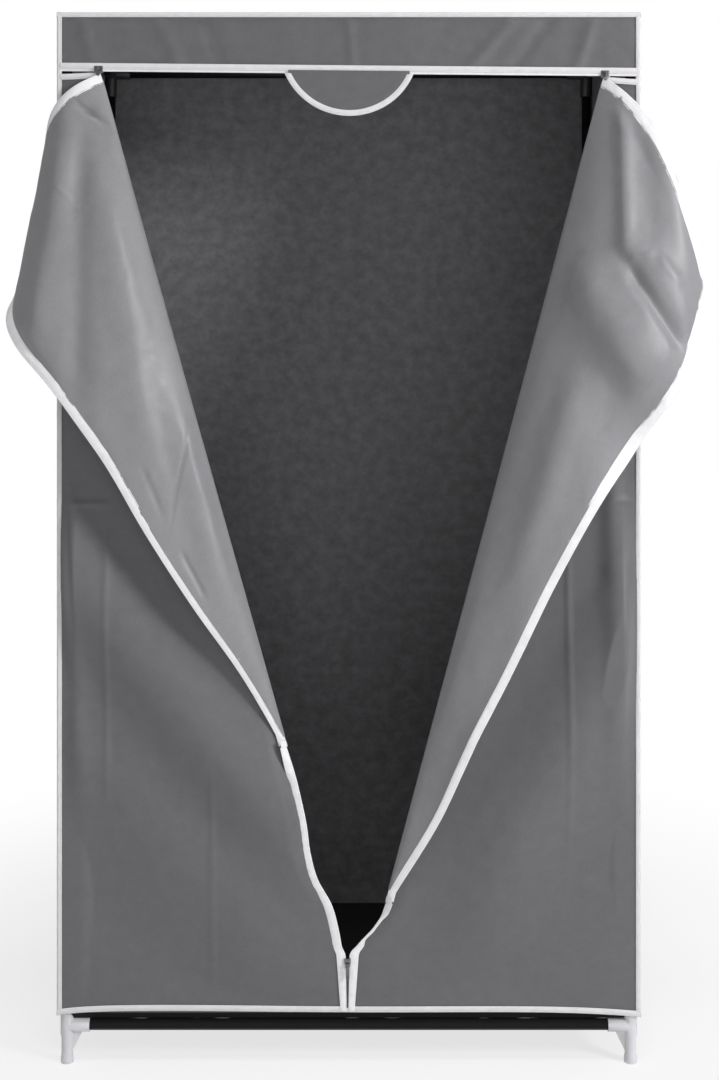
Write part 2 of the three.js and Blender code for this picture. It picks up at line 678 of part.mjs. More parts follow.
// Everything on the lower edge of the valance, in a group that tilts with it.
function addValanceTrim() {
  const trim = new THREE.Group();
  trim.position.z = BAND_BOTTOM;
  trim.rotation.y = Math.atan(VALANCE_TILT_SHARE);
  wardrobe.add(trim);
  const reach = HALF_WIDTH - BINDING_WIDTH - 2 * SEAM_GAP;
  const tape = block(
    -reach,
    reach,
    -HALF_DEPTH,
    -HALF_DEPTH + BINDING_THICKNESS,
    0,
    VALANCE_TAPE_WIDTH,
  );
  add("valance_tape", tape, WHITE_TAPE, trim);
  for (const [side, sx] of SIDES) {
    const x = foldTop(sx).x + sx * SLIDER_FOLD_OFFSET;
    add(`top_slider_${side}`, topSlider().translate(x, 0, 0), ZIP_METAL, trim);
    add(
      `top_pull_${side}`,
      pull(TOP_PULL_LENGTH).translate(x, TOP_PIN_Y, TOP_PIN_RISE),
      ZIP_METAL,
      trim,
    );
  }
  addTab(trim);
}

// The centre slider at the foot of the opening, and its pull.
function addCentreSlider() {
  const face = -HALF_DEPTH - (COIL_THICKNESS - BINDING_THICKNESS) - SEAM_GAP;
  const front = face - ZIP_SLIDER_THICKNESS;
  const high = OPEN_ZIP_HEIGHT;
  const low = high - ZIP_SLIDER_HEIGHT;
  const half = ZIP_SLIDER_WIDTH / 2;
  const outline = [
    [-half, high],
    [-half, high - ZIP_SLIDER_HEIGHT / 2],
    [-half + SLIDER_TAPER, low],
    [half - SLIDER_TAPER, low],
    [half, high - ZIP_SLIDER_HEIGHT / 2],
    [half, high],
  ];
  const plate = solid(upright(outline, front, face));
  const keel = block(
    -KEEL_WIDTH / 2,
    KEEL_WIDTH / 2,
    front + SLIDER_WALL,
    face + KEEL_DEPTH,
    low + SLIDER_TAPER,
    high - SLIDER_TAPER,
  );
  const pinZ = low + ZIP_PIN_RISE;
  const body = join([plate, solid(keel), pinAndEars(front, pinZ)]);
  add("zip_slider", geometryOf(body).translate(ZIP_OFFSET, 0, 0), ZIP_METAL);
  const hung = pull(ZIP_PULL_LENGTH).translate(ZIP_OFFSET, front - PIN_STANDOFF, pinZ);
  add("zip_pull", hung, ZIP_METAL);
}

// Rows of a flap from its top edge to the foot of its fold. A row is a curve from the fold line to
// the free edge with three more control points, each as four shares: across, of the way from the
// fold to the cover's side; beyond, of CURL_REACH; down, of the top edge; forward, of COVER_DEPTH.
const LEFT_ROW_SHARES = [
  [[0.55, 0, 0.06, 0.055], [1, 1.039, 0.139, 0.1], [1, 0.179, 0.524, -0.38]],
  [[0.464, 0, 0.058, 0.105], [1, 1.221, 0.235, 0.155], [1, 0.868, 0.413, -0.2]],
  [[0.344, 0, 0.071, 0.125], [1, 0.516, 0.237, 0.19], [1, 1.112, 0.325, 0.035]],
  [[0.248, 0, 0.059, 0.12], [0.695, 0, 0.168, 0.175], [0.961, 0, 0.257, 0.125]],
  [[0.178, 0, 0.044, 0.1], [0.434, 0, 0.128, 0.155], [0.62, 0, 0.191, 0.135]],
  [[0.118, 0, 0.034, 0.08], [0.295, 0, 0.098, 0.125], [0.422, 0, 0.142, 0.125]],
  [[0.066, 0, 0.023, 0.06], [0.176, 0, 0.061, 0.095], [0.255, 0, 0.09, 0.1]],
  [[0.032, 0, 0.011, 0.035], [0.082, 0, 0.029, 0.055], [0.112, 0, 0.038, 0.05]],
  [[0.006, 0, 0.002, 0.006], [0.011, 0, 0.004, 0.011], [0.017, 0, 0.006, 0.012]],
];
const RIGHT_ROW_SHARES = [
  [[0.6, 0, 0.075, 0.06], [1, 0.652, 0.207, 0.17], [1, 1.612, 0.833, 0.08]],
  [[0.471, 0, 0.077, 0.13], [0.93, 0, 0.412, 0.245], [1, 0.702, 0.797, 0.17]],
  [[0.317, 0, 0.072, 0.13], [0.64, 0, 0.342, 0.215], [0.816, 0, 0.639, 0.13]],
  [[0.188, 0, 0.066, 0.115], [0.424, 0, 0.267, 0.19], [0.534, 0, 0.462, 0.172]],
  [[0.132, 0, 0.054, 0.092], [0.286, 0, 0.205, 0.155], [0.345, 0, 0.355, 0.154]],
  [[0.09, 0, 0.041, 0.07], [0.196, 0, 0.141, 0.12], [0.238, 0, 0.256, 0.14]],
  [[0.057, 0, 0.027, 0.05], [0.12, 0, 0.092, 0.09], [0.146, 0, 0.166, 0.12]],
  [[0.032, 0, 0.016, 0.03], [0.071, 0, 0.053, 0.055], [0.096, 0, 0.085, 0.075]],
  [[0.005, 0, 0.003, 0.006], [0.009, 0, 0.006, 0.01], [0.013, 0, 0.01, 0.012]],
];

// The surface of a flap: u runs down the fold line and v from the fold to the free edge.
function flapSurface(sx) {
  const top = foldTop(sx);
  const low = foldFoot(sx);
  const side = sx * HALF_WIDTH;
  const topEdge = Math.abs(top.x - ZIP_OFFSET);
  const table = sx < 0 ? LEFT_ROW_SHARES : RIGHT_ROW_SHARES;
  const columns = [0, 1, 2].map((column) => {
    const points = table.map((row, i) => {
      const [across, beyond, down, forward] = row[column];
      const fold = top.clone().lerp(low, i * ROW_STEP_SHARE);
      return new THREE.Vector3(
        fold.x + (side - fold.x) * across + sx * beyond * CURL_REACH,
        fold.y - forward * COVER_DEPTH,
        fold.z - down * topEdge,
      );
    });
    return new THREE.CatmullRomCurve3(points, false, "catmullrom");
  });
  return (u, v) => {
    const start = top.clone().lerp(low, u);
    const [a, b, c] = columns.map((curve) => curve.getPoint(u));
    return new THREE.CubicBezierCurve3(start, a, b, c).getPoint(v);
  };
}

// The direction square to a surface at u and v.
function facing(surface, u, v) {
  const around = (share) => [
    Math.max(share - FACING_STEP_SHARE, 0),
    Math.min(share + FACING_STEP_SHARE, 1),
  ];
  const [u0, u1] = around(u);
  const [v0, v1] = around(v);
  const down = surface(u1, v).sub(surface(u0, v));
  const out = surface(u, v1).sub(surface(u, v0));
  return down.cross(out).normalize();
}

// A closed sheet of a thickness on a grid of places on a surface.
function sheetOn(surface, grid, thickness) {
  const rows = grid.length;
  const columns = grid[0].length;
  const positions = [];
  for (const half of [-thickness / 2, thickness / 2]) {
    for (const row of grid) {
      for (const [u, v] of row) {
        positions.push(...surface(u, v).addScaledVector(facing(surface, u, v), half).toArray());
      }
    }
  }
  const at = (layer, i, j) => layer * rows * columns + i * columns + j;
  const faces = [];
  const quad = (a, b, c, d) => faces.push(a, b, c, a, c, d);
  for (let i = 0; i + 1 < rows; i++) {
    for (let j = 0; j + 1 < columns; j++) {
      quad(at(1, i, j), at(1, i + 1, j), at(1, i + 1, j + 1), at(1, i, j + 1));
      quad(at(0, i, j), at(0, i, j + 1), at(0, i + 1, j + 1), at(0, i + 1, j));
    }
    quad(at(0, i, 0), at(0, i + 1, 0), at(1, i + 1, 0), at(1, i, 0));
    const last = columns - 1;
    quad(at(0, i, last), at(1, i, last), at(1, i + 1, last), at(0, i + 1, last));
  }
  for (let j = 0; j + 1 < columns; j++) {
    quad(at(0, 0, j), at(1, 0, j), at(1, 0, j + 1), at(0, 0, j + 1));
    const last = rows - 1;
    quad(at(0, last, j), at(0, last, j + 1), at(1, last, j + 1), at(1, last, j));
  }
  return new THREE.BufferGeometry()
    .setAttribute("position", new THREE.Float32BufferAttribute(positions, 3))
    .setIndex(faces);
}

// The length of a flap's row from the fold line to the free edge.
function rowLength(surface, u) {
  const points = Array.from({ length: ARC_STEPS + 1 }, (_, i) => surface(u, i / ARC_STEPS));
  return points.slice(1).reduce((sum, point, i) => sum + point.distanceTo(points[i]), 0);
}

const spread = (from, to, count) =>
  Array.from({ length: count + 1 }, (_, i) => from + ((to - from) * i) / count);

// A flap: its cloth, with the rolled fold that it turns on, and the tape on its two free edges.
function addFlap(side, sx) {
  const surface = flapSurface(sx);
  const foldLength = foldTop(sx).distanceTo(foldFoot(sx));
  const tapeShare = FLAP_TAPE_WIDTH / foldLength;
  const gapShare = SEAM_GAP / foldLength;
  const tapeStart = (u) => 1 - FLAP_TAPE_WIDTH / rowLength(surface, u);
  const clothEnd = (u) => 1 - (FLAP_TAPE_WIDTH + SEAM_GAP) / rowLength(surface, u);
  const clothRows = spread(tapeShare + gapShare, LAST_ROW_SHARE, FLAP_ROWS);
  const cloth = clothRows.map((u) => spread(0, clothEnd(u), FLAP_COLUMNS).map((v) => [u, v]));
  const acrossTop = spread(0, 1, FLAP_COLUMNS);
  const tape = [
    ...acrossTop.map((share) => [
      [0, share],
      [tapeShare, share * tapeStart(tapeShare)],
    ]),
    ...clothRows.slice(1).map((u) => [
      [u, 1],
      [u, tapeStart(u)],
    ]),
  ];
  const sheet = solid(oriented(sheetOn(surface, cloth, CLOTH_THICKNESS)));
  const beadTop = surface(tapeShare + gapShare + FOLD_BEAD_RADIUS / foldLength, 0).toArray();
  const beadFoot = surface(LAST_ROW_SHARE, 0).toArray();
  const bead = solid(bar(beadTop, beadFoot, FOLD_BEAD_RADIUS, SMALL_SIDES));
  add(`flap_${side}`, geometryOf(sheet.add(bead)), INNER_CLOTH);
  const strip = oriented(sheetOn(surface, tape, FLAP_TAPE_THICKNESS));
  add(`flap_tape_${side}`, strip, WHITE_TAPE);
}

// The same closed geometry with its faces turned outward.
function oriented(geometry) {
  const place = geometry.getAttribute("position");
  const index = geometry.getIndex().array;
  const corner = (i) => new THREE.Vector3().fromBufferAttribute(place, index[i]);
  let volume = 0;
  for (let i = 0; i < index.length; i += 3) {
    volume += corner(i).dot(corner(i + 1).cross(corner(i + 2)));
  }
  if (volume > 0) return geometry;
  const turned = Array.from(index);
  for (let i = 0; i < turned.length; i += 3) {
    [turned[i + 1], turned[i + 2]] = [turned[i + 2], turned[i + 1]];
  }
  return geometry.setIndex(turned);
}

addPosts();
addRails();
addHangingRod();
addWalls();
addFront();
addBindings();
addValanceTrim();
addCentreSlider();
for (const [side, sx] of SIDES) addFlap(side, sx);

// The origin is the middle of the whole footprint, open flaps included, on the floor.
const extent = new THREE.Box3().setFromObject(wardrobe).getCenter(new THREE.Vector3());
wardrobe.position.set(-extent.x, -extent.y, 0);

export default wardrobe;
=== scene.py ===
"""Looks of the portable fabric wardrobe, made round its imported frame. Metres, +Z up, front to -Y."""
import json
import math

import bmesh
import bpy
import numpy as np
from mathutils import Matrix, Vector


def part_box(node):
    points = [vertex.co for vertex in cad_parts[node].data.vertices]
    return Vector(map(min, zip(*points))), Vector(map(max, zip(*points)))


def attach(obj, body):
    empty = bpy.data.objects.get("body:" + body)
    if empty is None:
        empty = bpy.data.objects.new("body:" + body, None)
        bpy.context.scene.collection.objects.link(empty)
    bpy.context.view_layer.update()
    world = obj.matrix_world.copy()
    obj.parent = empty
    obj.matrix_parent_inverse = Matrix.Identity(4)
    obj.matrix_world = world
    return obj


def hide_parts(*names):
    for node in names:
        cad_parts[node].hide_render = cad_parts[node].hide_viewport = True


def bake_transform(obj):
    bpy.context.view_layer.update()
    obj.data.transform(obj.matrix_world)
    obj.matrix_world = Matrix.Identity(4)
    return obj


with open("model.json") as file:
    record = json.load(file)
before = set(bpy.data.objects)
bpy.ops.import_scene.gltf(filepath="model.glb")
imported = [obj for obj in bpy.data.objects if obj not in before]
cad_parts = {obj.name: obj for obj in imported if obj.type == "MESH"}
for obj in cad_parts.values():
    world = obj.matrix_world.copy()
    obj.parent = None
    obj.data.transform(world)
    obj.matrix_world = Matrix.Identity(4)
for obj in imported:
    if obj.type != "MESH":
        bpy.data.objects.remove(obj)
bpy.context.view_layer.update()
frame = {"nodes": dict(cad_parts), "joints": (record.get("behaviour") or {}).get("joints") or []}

MM = 0.001
FORWARD = np.array([0, -1.0, 0])
DOWN = np.array([0, 0, -1.0])

# The cover's outer box, its middle and the middle zip
COVER_LOW, COVER_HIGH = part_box("edge_binding")
HEM_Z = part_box("hem_binding")[0].z
MIDDLE_X = (COVER_LOW.x + COVER_HIGH.x) / 2
ZIP_X = sum(corner.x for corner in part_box("zip_slider")) / 2
OPEN_ZIP_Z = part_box("zip_slider")[1].z

# Cloth, bindings and seams
CLOTH_THICKNESS = 0.5 * MM
CLOTH_INSET = 1.9 * MM
CLOTH_BACKSET = 0.6 * MM
BINDING_WIDTH = 8 * MM
BINDING_THICKNESS = 1.6 * MM
BINDING_REACH = 0.8 * BINDING_WIDTH
HEM_BINDING_WIDTH = 9 * MM
HEM_DIP_REACH = 40 * MM
STITCH_PITCH = 4.2 * MM
STITCH_LENGTH = 2.7 * MM
STITCH_RADIUS = 0.34 * MM

# Valance, its hem band, the zip tape below it and the round tab
VALANCE_TILT_SHARE = 0.009
VALANCE_FLAT_HEIGHT = 84 * MM
VALANCE_BAND_WIDTH = 9.5 * MM
VALANCE_BAND_LIFT = 3.2 * MM
VALANCE_ZIP_TAPE_WIDTH = 8 * MM
PANEL_TOP_GAP = 3.6 * MM
PANEL_TAPE_WIDTH = 9 * MM
TAB_WIDTH = 196 * MM
TAB_DROP = 65 * MM
TAB_RISE = 4.5 * MM
TAB_BINDING_WIDTH = 9 * MM

# Front opening
FLAP_TOP_DROP = 10 * MM
FOLD_RADIUS = 2.4 * MM
ROLL_RADIUS = 11 * MM
TOP_REACH_SHARE = 0.007
TAPE_FLARE_SHARE = 0.72
FOOT_TAPE_WIDTH = 12.5 * MM
FLAP_TAPE_WIDTH = 17 * MM
FLAP_TAPE_THICKNESS = 1.4 * MM
OPENING_TAPE_WIDTH = 14 * MM
ZIP_TAPE_WIDTH = 9.5 * MM
COIL_WIDTH = 3.6 * MM
TOOTH_PITCH = 1.5 * MM
CURL_REACH = 60 * MM
ROW_STEP_SHARE = 0.125

# The length of a bottom rail that each foot's socket hides
SOCKET_SEAT_HIDE = 15 * MM

# Camera, as the photograph was taken: its height, its distance from the front, and its framing
CAMERA_HEIGHT = 1.088
CAMERA_DISTANCE = 2.31
CAMERA_ASIDE = -2 * MM
CAMERA_LENS = 50.72
CAMERA_SHIFT = (0.0111, -0.1769)

# Light: the surround's level, and each lamp's place, target, size and power
AMBIENT = 0.25
LAMPS = (
    ("key", (2.8, -2.0, 2.0), (0, 0, 0.9), (0.8, 0.8), 80),
    ("fill", (-2.4, -2.4, 1.6), (0, 0, 0.8), (0.9, 0.9), 5),
    ("front", (0.4, -3.4, 0.7), (0, 0, 1.3), (2.4, 0.8), 13),
    ("top", (0.3, -3.4, 11.0), (0, 0, 0.8), (2.6, 1.6), 330),
)

# The front's plane, where the walls' cloth hangs, and the zip tape's lower edge at the middle
FRONT_Y = COVER_LOW.y
ROOF_Z = COVER_HIGH.z - CLOTH_INSET
SPAN_X = (COVER_LOW.x + CLOTH_INSET, COVER_HIGH.x - CLOTH_INSET)
SPAN_Y = (FRONT_Y + CLOTH_INSET, COVER_HIGH.y - CLOTH_INSET)
SPAN_Z = (HEM_Z + 1 * MM, ROOF_Z - 2 * MM)
FOLD_Y = SPAN_Y[0] + CLOTH_BACKSET
BAND_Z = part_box("valance_tape")[0].z + VALANCE_TILT_SHARE * (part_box("valance_tape")[1].x - MIDDLE_X)


def band_bottom(x):
    """The height of the zip tape's lower edge across the front."""
    return BAND_Z - VALANCE_TILT_SHARE * (x - MIDDLE_X)


# Surfaces and noise


def smooth(share):
    """A share from 0 to 1 eased at both ends."""
    share = np.clip(share, 0, 1)
    return share * share * (3 - 2 * share)


def drift(x, y, cell, seed):
    """Smooth noise from -1 to 1 over a plane, with features about one cell across."""
    size = 97
    lattice = np.random.RandomState(seed).uniform(-1, 1, (size, size))
    x, y = np.asarray(x, float) / cell + 31.7, np.asarray(y, float) / cell + 17.3
    left, low = np.floor(x).astype(int), np.floor(y).astype(int)
    across, up = smooth(x - left), smooth(y - low)
    near, far = (lattice[left % size, level % size] * (1 - across)
                 + lattice[(left + 1) % size, level % size] * across for level in (low, low + 1))
    return near * (1 - up) + far * up


def beside(x, y, start, end):
    """How far along a line points are, as a share of its length, and how far off to its left."""
    start, end = np.array(start), np.array(end)
    length = np.hypot(*(end - start))
    along = (end - start) / length
    x, y = x - start[0], y - start[1]
    return (x * along[0] + y * along[1]) / length, x * -along[1] + y * along[0]


def crease(x, y, start, end, width, height):
    """A soft straight ridge, or a furrow where height is negative, that fades at both ends."""
    run, off = beside(x, y, start, end)
    return height * np.exp(-((off / width) ** 2)) * (smooth(run / 0.3) * smooth((1 - run) / 0.3))


def ledge(x, y, start, end, width, height, reach):
    """A step that falls at a line and runs out, on the left of the line's direction, over a reach."""
    run, off = beside(x, y, start, end)
    fade = smooth((run + 0.1) / 0.2) * smooth((1.1 - run) / 0.2)
    return height * smooth(off / width + 0.5) * np.exp(-np.maximum(off, 0) / reach) * fade


def creases(x, y, rows):
    """Creases added up. A row has a line's two ends, a width, a height in mm and, for a ledge, its reach."""
    return sum((ledge if reach else crease)(x, y, (x0, y0), (x1, y1), width, height * MM, *reach)
               for x0, y0, x1, y1, width, height, *reach in rows)


def unit(vectors):
    """Vectors at length 1."""
    return vectors / np.maximum(np.linalg.norm(vectors, axis=-1, keepdims=True), 1e-12)


def toward_front(facing, probe):
    """Directions, all turned over if the one at the probe faces back."""
    return -facing if facing[probe][1] > 0 else facing


def normals_of(points):
    """The directions square to a grid of points."""
    return unit(np.cross(np.gradient(points, axis=0), np.gradient(points, axis=1)))


def lengths_along(points, axis):
    """The distance travelled along one axis of a grid of points."""
    steps = np.linalg.norm(np.diff(points, axis=axis), axis=-1)
    return np.concatenate([np.zeros_like(np.take(steps, [0], axis)), np.cumsum(steps, axis)], axis)


def run_along(line):
    """The distance travelled along a line of points."""
    return lengths_along(line[:, None], 0)[:, 0]


def sampled(values, run, stops):
    """The points or directions of a line at some distances along it."""
    return np.stack([np.interp(stops, run, values[:, k]) for k in range(3)], 1)


def line_of(*corners, count):
    """Points at an even pitch along a broken line."""
    corners = np.asarray(corners, float)
    run = run_along(corners)
    return sampled(corners, run, np.linspace(0, run[-1], count))


def rounded_through(points, u):
    """Uniform Catmull-Rom curve through a list of points, at an array of shares from 0 to 1."""
    points = np.asarray(points, float)
    padded = np.concatenate([[2 * points[0] - points[1]], points, [2 * points[-1] - points[-2]]])
    place = np.asarray(u, float) * (len(points) - 1)
    first = np.clip(np.floor(place).astype(int), 0, len(points) - 2)
    t = (place - first)[..., None]
    a, b, c, d = (padded[first + k] for k in range(4))
    start, end = (c - a) / 2, (d - b) / 2
    return b + start * t + (3 * c - 3 * b - 2 * start - end) * t**2 + (2 * b - 2 * c + start + end) * t**3


# Meshes


def mesh_object(name, vertices, faces, looks, body, face_looks=None, places=None):
    """A smooth mesh that rides on a body, with its own materials and, on cloth, its place on the cloth."""
    mesh = bpy.data.meshes.new(name)
    mesh.from_pydata([tuple(v) for v in vertices], [], [tuple(f) for f in faces])
    for look in looks:
        mesh.materials.append(look)
    mesh.polygons.foreach_set("use_smooth", [True] * len(mesh.polygons))
    if face_looks is not None:
        mesh.polygons.foreach_set("material_index", face_looks)
    if places is not None:
        attribute = mesh.attributes.new("cloth_place", "FLOAT_VECTOR", "POINT")
        attribute.data.foreach_set("vector", np.asarray(places, np.float32).ravel())
    mesh.validate()
    mesh.update()
    made = bpy.data.objects.new(name, mesh)
    bpy.context.scene.collection.objects.link(made)
    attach(made, body)
    return made


def sharpen(made, degrees):
    """Marks a mesh's edges that turn more than an angle as sharp."""
    work = bmesh.new()
    work.from_mesh(made.data)
    for edge in work.edges:
        if len(edge.link_faces) == 2 and edge.calc_face_angle() > math.radians(degrees):
            edge.smooth = False
    work.to_mesh(made.data)
    work.free()


def face_outward(made):
    """Turns a closed mesh's faces outward."""
    work = bmesh.new()
    work.from_mesh(made.data)
    bmesh.ops.recalc_face_normals(work, faces=work.faces)
    work.to_mesh(made.data)
    work.free()


def grid_faces(rows, columns, first=0, flip=False, closed=False):
    """The quads of a grid of points numbered row by row."""
    index = first + np.arange(rows * columns).reshape(rows, columns)
    if closed:
        index = np.append(index, index[:, :1], 1)
    quads = np.stack([index[:-1, :-1], index[1:, :-1], index[1:, 1:], index[:-1, 1:]], -1).reshape(-1, 4)
    return (quads[:, ::-1] if flip else quads).tolist()


def cloth(name, points, looks):
    """A sheet of cloth on a grid of points: an outer face, an inner face and a thin rim."""
    rows, columns = points.shape[:2]
    count = rows * columns
    half = normals_of(points) * CLOTH_THICKNESS / 2
    vertices = np.concatenate([(points + half).reshape(-1, 3), (points - half).reshape(-1, 3)])
    outer, inner = grid_faces(rows, columns), grid_faces(rows, columns, count, flip=True)
    index = np.arange(count).reshape(rows, columns)
    ring = np.concatenate([index[0], index[1:, -1], index[-1, -2::-1], index[-2:0:-1, 0]]).tolist()
    rim = [[ring[k - 1], ring[k], ring[k] + count, ring[k - 1] + count] for k in range(len(ring))]
    places = np.stack([lengths_along(points, 1), lengths_along(points, 0), np.zeros((rows, columns))], -1)
    made = mesh_object(name, vertices, outer + inner + rim, looks, "root",
                       [0] * len(outer) + [len(looks) - 1] * len(inner) + [0] * len(rim), [places, places])
    sharpen(made, 60)
    return made


def closed_strip(name, section, run, look, body, sharp_degrees, across=None):
    """A closed strip: its section is a ring of lines, each as long as the strip."""
    points = np.stack(section, 1)
    rows, columns = points.shape[:2]
    faces = grid_faces(rows, columns, closed=True)
    faces += [list(range(columns)), [(rows - 1) * columns + j for j in reversed(range(columns))]]
    across = lengths_along(points, 1) if across is None else across
    places = np.stack([across, np.repeat(run[:, None], columns, 1), np.zeros((rows, columns))], -1)
    made = mesh_object(name, points.reshape(-1, 3), faces, [look], body, places=places)
    face_outward(made)
    sharpen(made, sharp_degrees)
    return made


# A tape's section: shares of its width, its height at each, and the points along its back
TAPE_SHARES = np.array([0, 0.03, 0.1, 0.17, 0.24, 0.38, 0.5, 0.62, 0.76, 0.83, 0.9, 0.97, 1])
TAPE_DOME = np.array([0.1, 0.52, 0.72, 0.58, 0.86, 0.97, 1, 0.97, 0.86, 0.58, 0.72, 0.52, 0.1])
TAPE_BACK_SHARES = (0.9, 0.5, 0.1)


def band(name, left, right, facing, look, seed, body="root", thickness=BINDING_THICKNESS, pucker=0.25 * MM):
    """A tape between two edge lines: a low dome with a groove for each row of stitches."""
    run = run_along((left + right) / 2)
    section = []
    for share, height in zip(TAPE_SHARES, TAPE_DOME):
        wave = pucker * drift(run, share * 0.004, 9 * MM, seed)
        ripple = 0.5 * pucker * drift(run, share * 0.002, 3.5 * MM, seed + 5)
        lift = thickness * height + (wave + ripple) * height
        section.append(left + (right - left) * share + facing * lift[:, None])
    section += [left + (right - left) * share for share in TAPE_BACK_SHARES]
    across = np.linalg.norm(right - left, axis=1)[:, None] * np.append(TAPE_SHARES, TAPE_BACK_SHARES)
    return closed_strip(name, section, run, look, body, 55, across)


def capsule(length, radius):
    """The vertices and faces of a small round-ended rod along X."""
    half, sides = length / 2, 6
    begin, end = radius * 0.35, radius
    rings = ((-half + begin, 0.8), (-half + end, 1), (half - end, 1), (half - begin, 0.8))
    angles = [math.tau * k / sides for k in range(sides)]
    rounds = [(x, radius * share * math.cos(angle), radius * share * math.sin(angle))
              for x, share in rings for angle in angles]
    vertices = np.array([(-half, 0, 0), *rounds, (half, 0, 0)])
    last = len(vertices) - 1
    pairs = [(k, (k + 1) % sides) for k in range(sides)]
    faces = [[0, 1 + b, 1 + a] for a, b in pairs]
    faces += [[i + a, i + b, i + sides + b, i + sides + a]
              for i in range(1, last - sides, sides) for a, b in pairs]
    faces += [[last, last - sides + a, last - sides + b] for a, b in pairs]
    return vertices, faces


def copies(name, shape, places, along, up, look, body="root"):
    """Many copies of one small shape, its X along a line and its Z up from the cloth, as one mesh."""
    vertices, faces = shape
    along = unit(along)
    side = unit(np.cross(up, along))
    turned = sum(vertices[None, :, k, None] * axis[..., None, :]
                 for k, axis in enumerate((along, side, np.cross(along, side)))) + places[:, None]
    count = len(vertices)
    everyone = [[corner + count * i for corner in face] for i in range(len(places)) for face in faces]
    return mesh_object(name, turned.reshape(-1, 3), everyone, [look], body)


def stitch_row(name, line, facing, body="root", lift=0.0):
    """A row of machine stitches along a line on a cloth or tape."""
    run = run_along(line)
    stops = np.arange(STITCH_PITCH / 2, run[-1], STITCH_PITCH)
    step = STITCH_PITCH / 4
    along = unit(sampled(line, run, stops + step) - sampled(line, run, stops - step))
    up = unit(sampled(np.broadcast_to(facing, line.shape), run, stops))
    places = sampled(line, run, stops) + up * lift
    return copies(name, capsule(STITCH_LENGTH, STITCH_RADIUS), places, along, up, THREAD, body)


def stitch_rows(name, inner, outer, facing, share, above=0.0, body="root", lift=0.0,
                labels=("inner", "outer")):
    """A row of stitches along each edge of a tape, at a share of its width."""
    for label, place in zip(labels, (share, 1 - share)):
        stitch_row(f"{name}_{label}", inner + (outer - inner) * place + facing * above, facing, body, lift)


# Materials. A value fed to a node is a number, a vector or another node with the name of its output.


def node_tools(tree):
    """Ways to feed a node's inputs, and to add a node that gives one of its outputs."""

    def feed(node, inputs):
        for socket, value in inputs.items():
            if isinstance(value, tuple) and isinstance(value[0], bpy.types.Node):
                tree.links.new(value[0].outputs[value[1]], node.inputs[socket])
            else:
                node.inputs[socket].default_value = value

    def add(kind, output, inputs, **settings):
        node = tree.nodes.new("ShaderNode" + kind)
        for key, value in settings.items():
            setattr(node, key, value)
        feed(node, inputs)
        return node, output

    return add, feed


def new_material(name):
    """A material with a bare Principled shader, and its node tools."""
    material = bpy.data.materials.new(name)
    material.use_nodes = True
    return material, material.node_tree.nodes["Principled BSDF"], *node_tools(material.node_tree)


def grey(level, tint=1.04):
    """A near-neutral colour, a little blue as the cloth is."""
    return (level, level * 0.985, level * tint, 1)


def ranged(add, value, low, high, start=(0.3, 0.7), **settings):
    """A value carried from one range to another, by default from a noise's."""
    inputs = {"Value": value, "From Min": start[0], "From Max": start[1], "To Min": low, "To Max": high}
    return add("MapRange", "Result", inputs, **settings)


def product(add, first, second):
    """Two shares multiplied."""
    return add("Math", "Value", {0: first, 1: second}, operation="MULTIPLY")


def shaded(add, colour, shade):
    """A colour made darker or lighter by a share."""
    return add("VectorMath", "Vector", {0: colour[:3], "Scale": shade}, operation="SCALE")


def bumped(add, height, strength, distance):
    """A normal tilted by a height."""
    return add("Bump", "Normal", {"Height": height, "Strength": strength, "Distance": distance})


def noise(add, place, scale, detail, **more):
    """A noise over a place."""
    return add("TexNoise", "Fac", {"Vector": place, "Scale": scale, "Detail": detail, **more})


def cloth_material(name, colour, cloud=0.07, fibre=0.08, roughness=0.62, shine=0.42, sheen=0.12):
    """Spun-bonded cloth: cloudy fibres pressed together in a lattice of small dots."""
    material, shader, add, feed = new_material(name)
    place = add("Attribute", "Vector", {}, attribute_name="cloth_place")
    clouds = noise(add, place, 46.0, 5.0, Roughness=0.66)
    combed = add("Mapping", "Vector", {"Vector": place, "Scale": (900, 260, 1)})
    fibres = noise(add, combed, 1.0, 3.0, Roughness=0.7, Distortion=1.2)
    lattice = add("TexVoronoi", "Distance", {"Vector": place, "Scale": 820.0, "Randomness": 0.12})
    pressed = ranged(add, lattice, 0.0, 1.0, (0.18, 0.42))
    shade = product(add, ranged(add, clouds, 1 - cloud, 1 + cloud), ranged(add, fibres, 1 - fibre, 1 + fibre))
    shade = product(add, shade, ranged(add, pressed, 0.9, 1.0, (0.0, 1.0)))
    height = add("Math", "Value", {0: fibres, 1: 0.5, 2: pressed}, operation="MULTIPLY_ADD")
    feed(shader, {
        "Base Color": shaded(add, colour, shade),
        "Roughness": ranged(add, clouds, roughness - 0.07, roughness + 0.07),
        "Normal": bumped(add, height, 0.35, 0.12 * MM),
        "Specular IOR Level": shine,
        "Sheen Weight": sheen,
        "Sheen Roughness": 0.45,
    })
    return material


def tape_material(name, colour):
    """Woven tape: fine slanted ribs, with faint handling marks."""
    material, shader, add, feed = new_material(name)
    place = add("Attribute", "Vector", {}, attribute_name="cloth_place")
    turn = add("Mapping", "Vector", {"Vector": place, "Rotation": (0, 0, math.radians(32))})
    ribs = add("TexWave", "Fac",
               {"Vector": turn, "Scale": 760.0, "Distortion": 1.6, "Detail": 2.0, "Detail Scale": 2.0})
    marks = noise(add, place, 60.0, 5.0, Roughness=0.6)
    shade = product(add, ranged(add, marks, 0.93, 1.03), ranged(add, ribs, 0.95, 1.02))
    feed(shader, {
        "Base Color": shaded(add, colour, shade),
        "Roughness": 0.72,
        "Normal": bumped(add, ribs, 0.4, 0.1 * MM),
        "Sheen Weight": 0.15,
    })
    return material


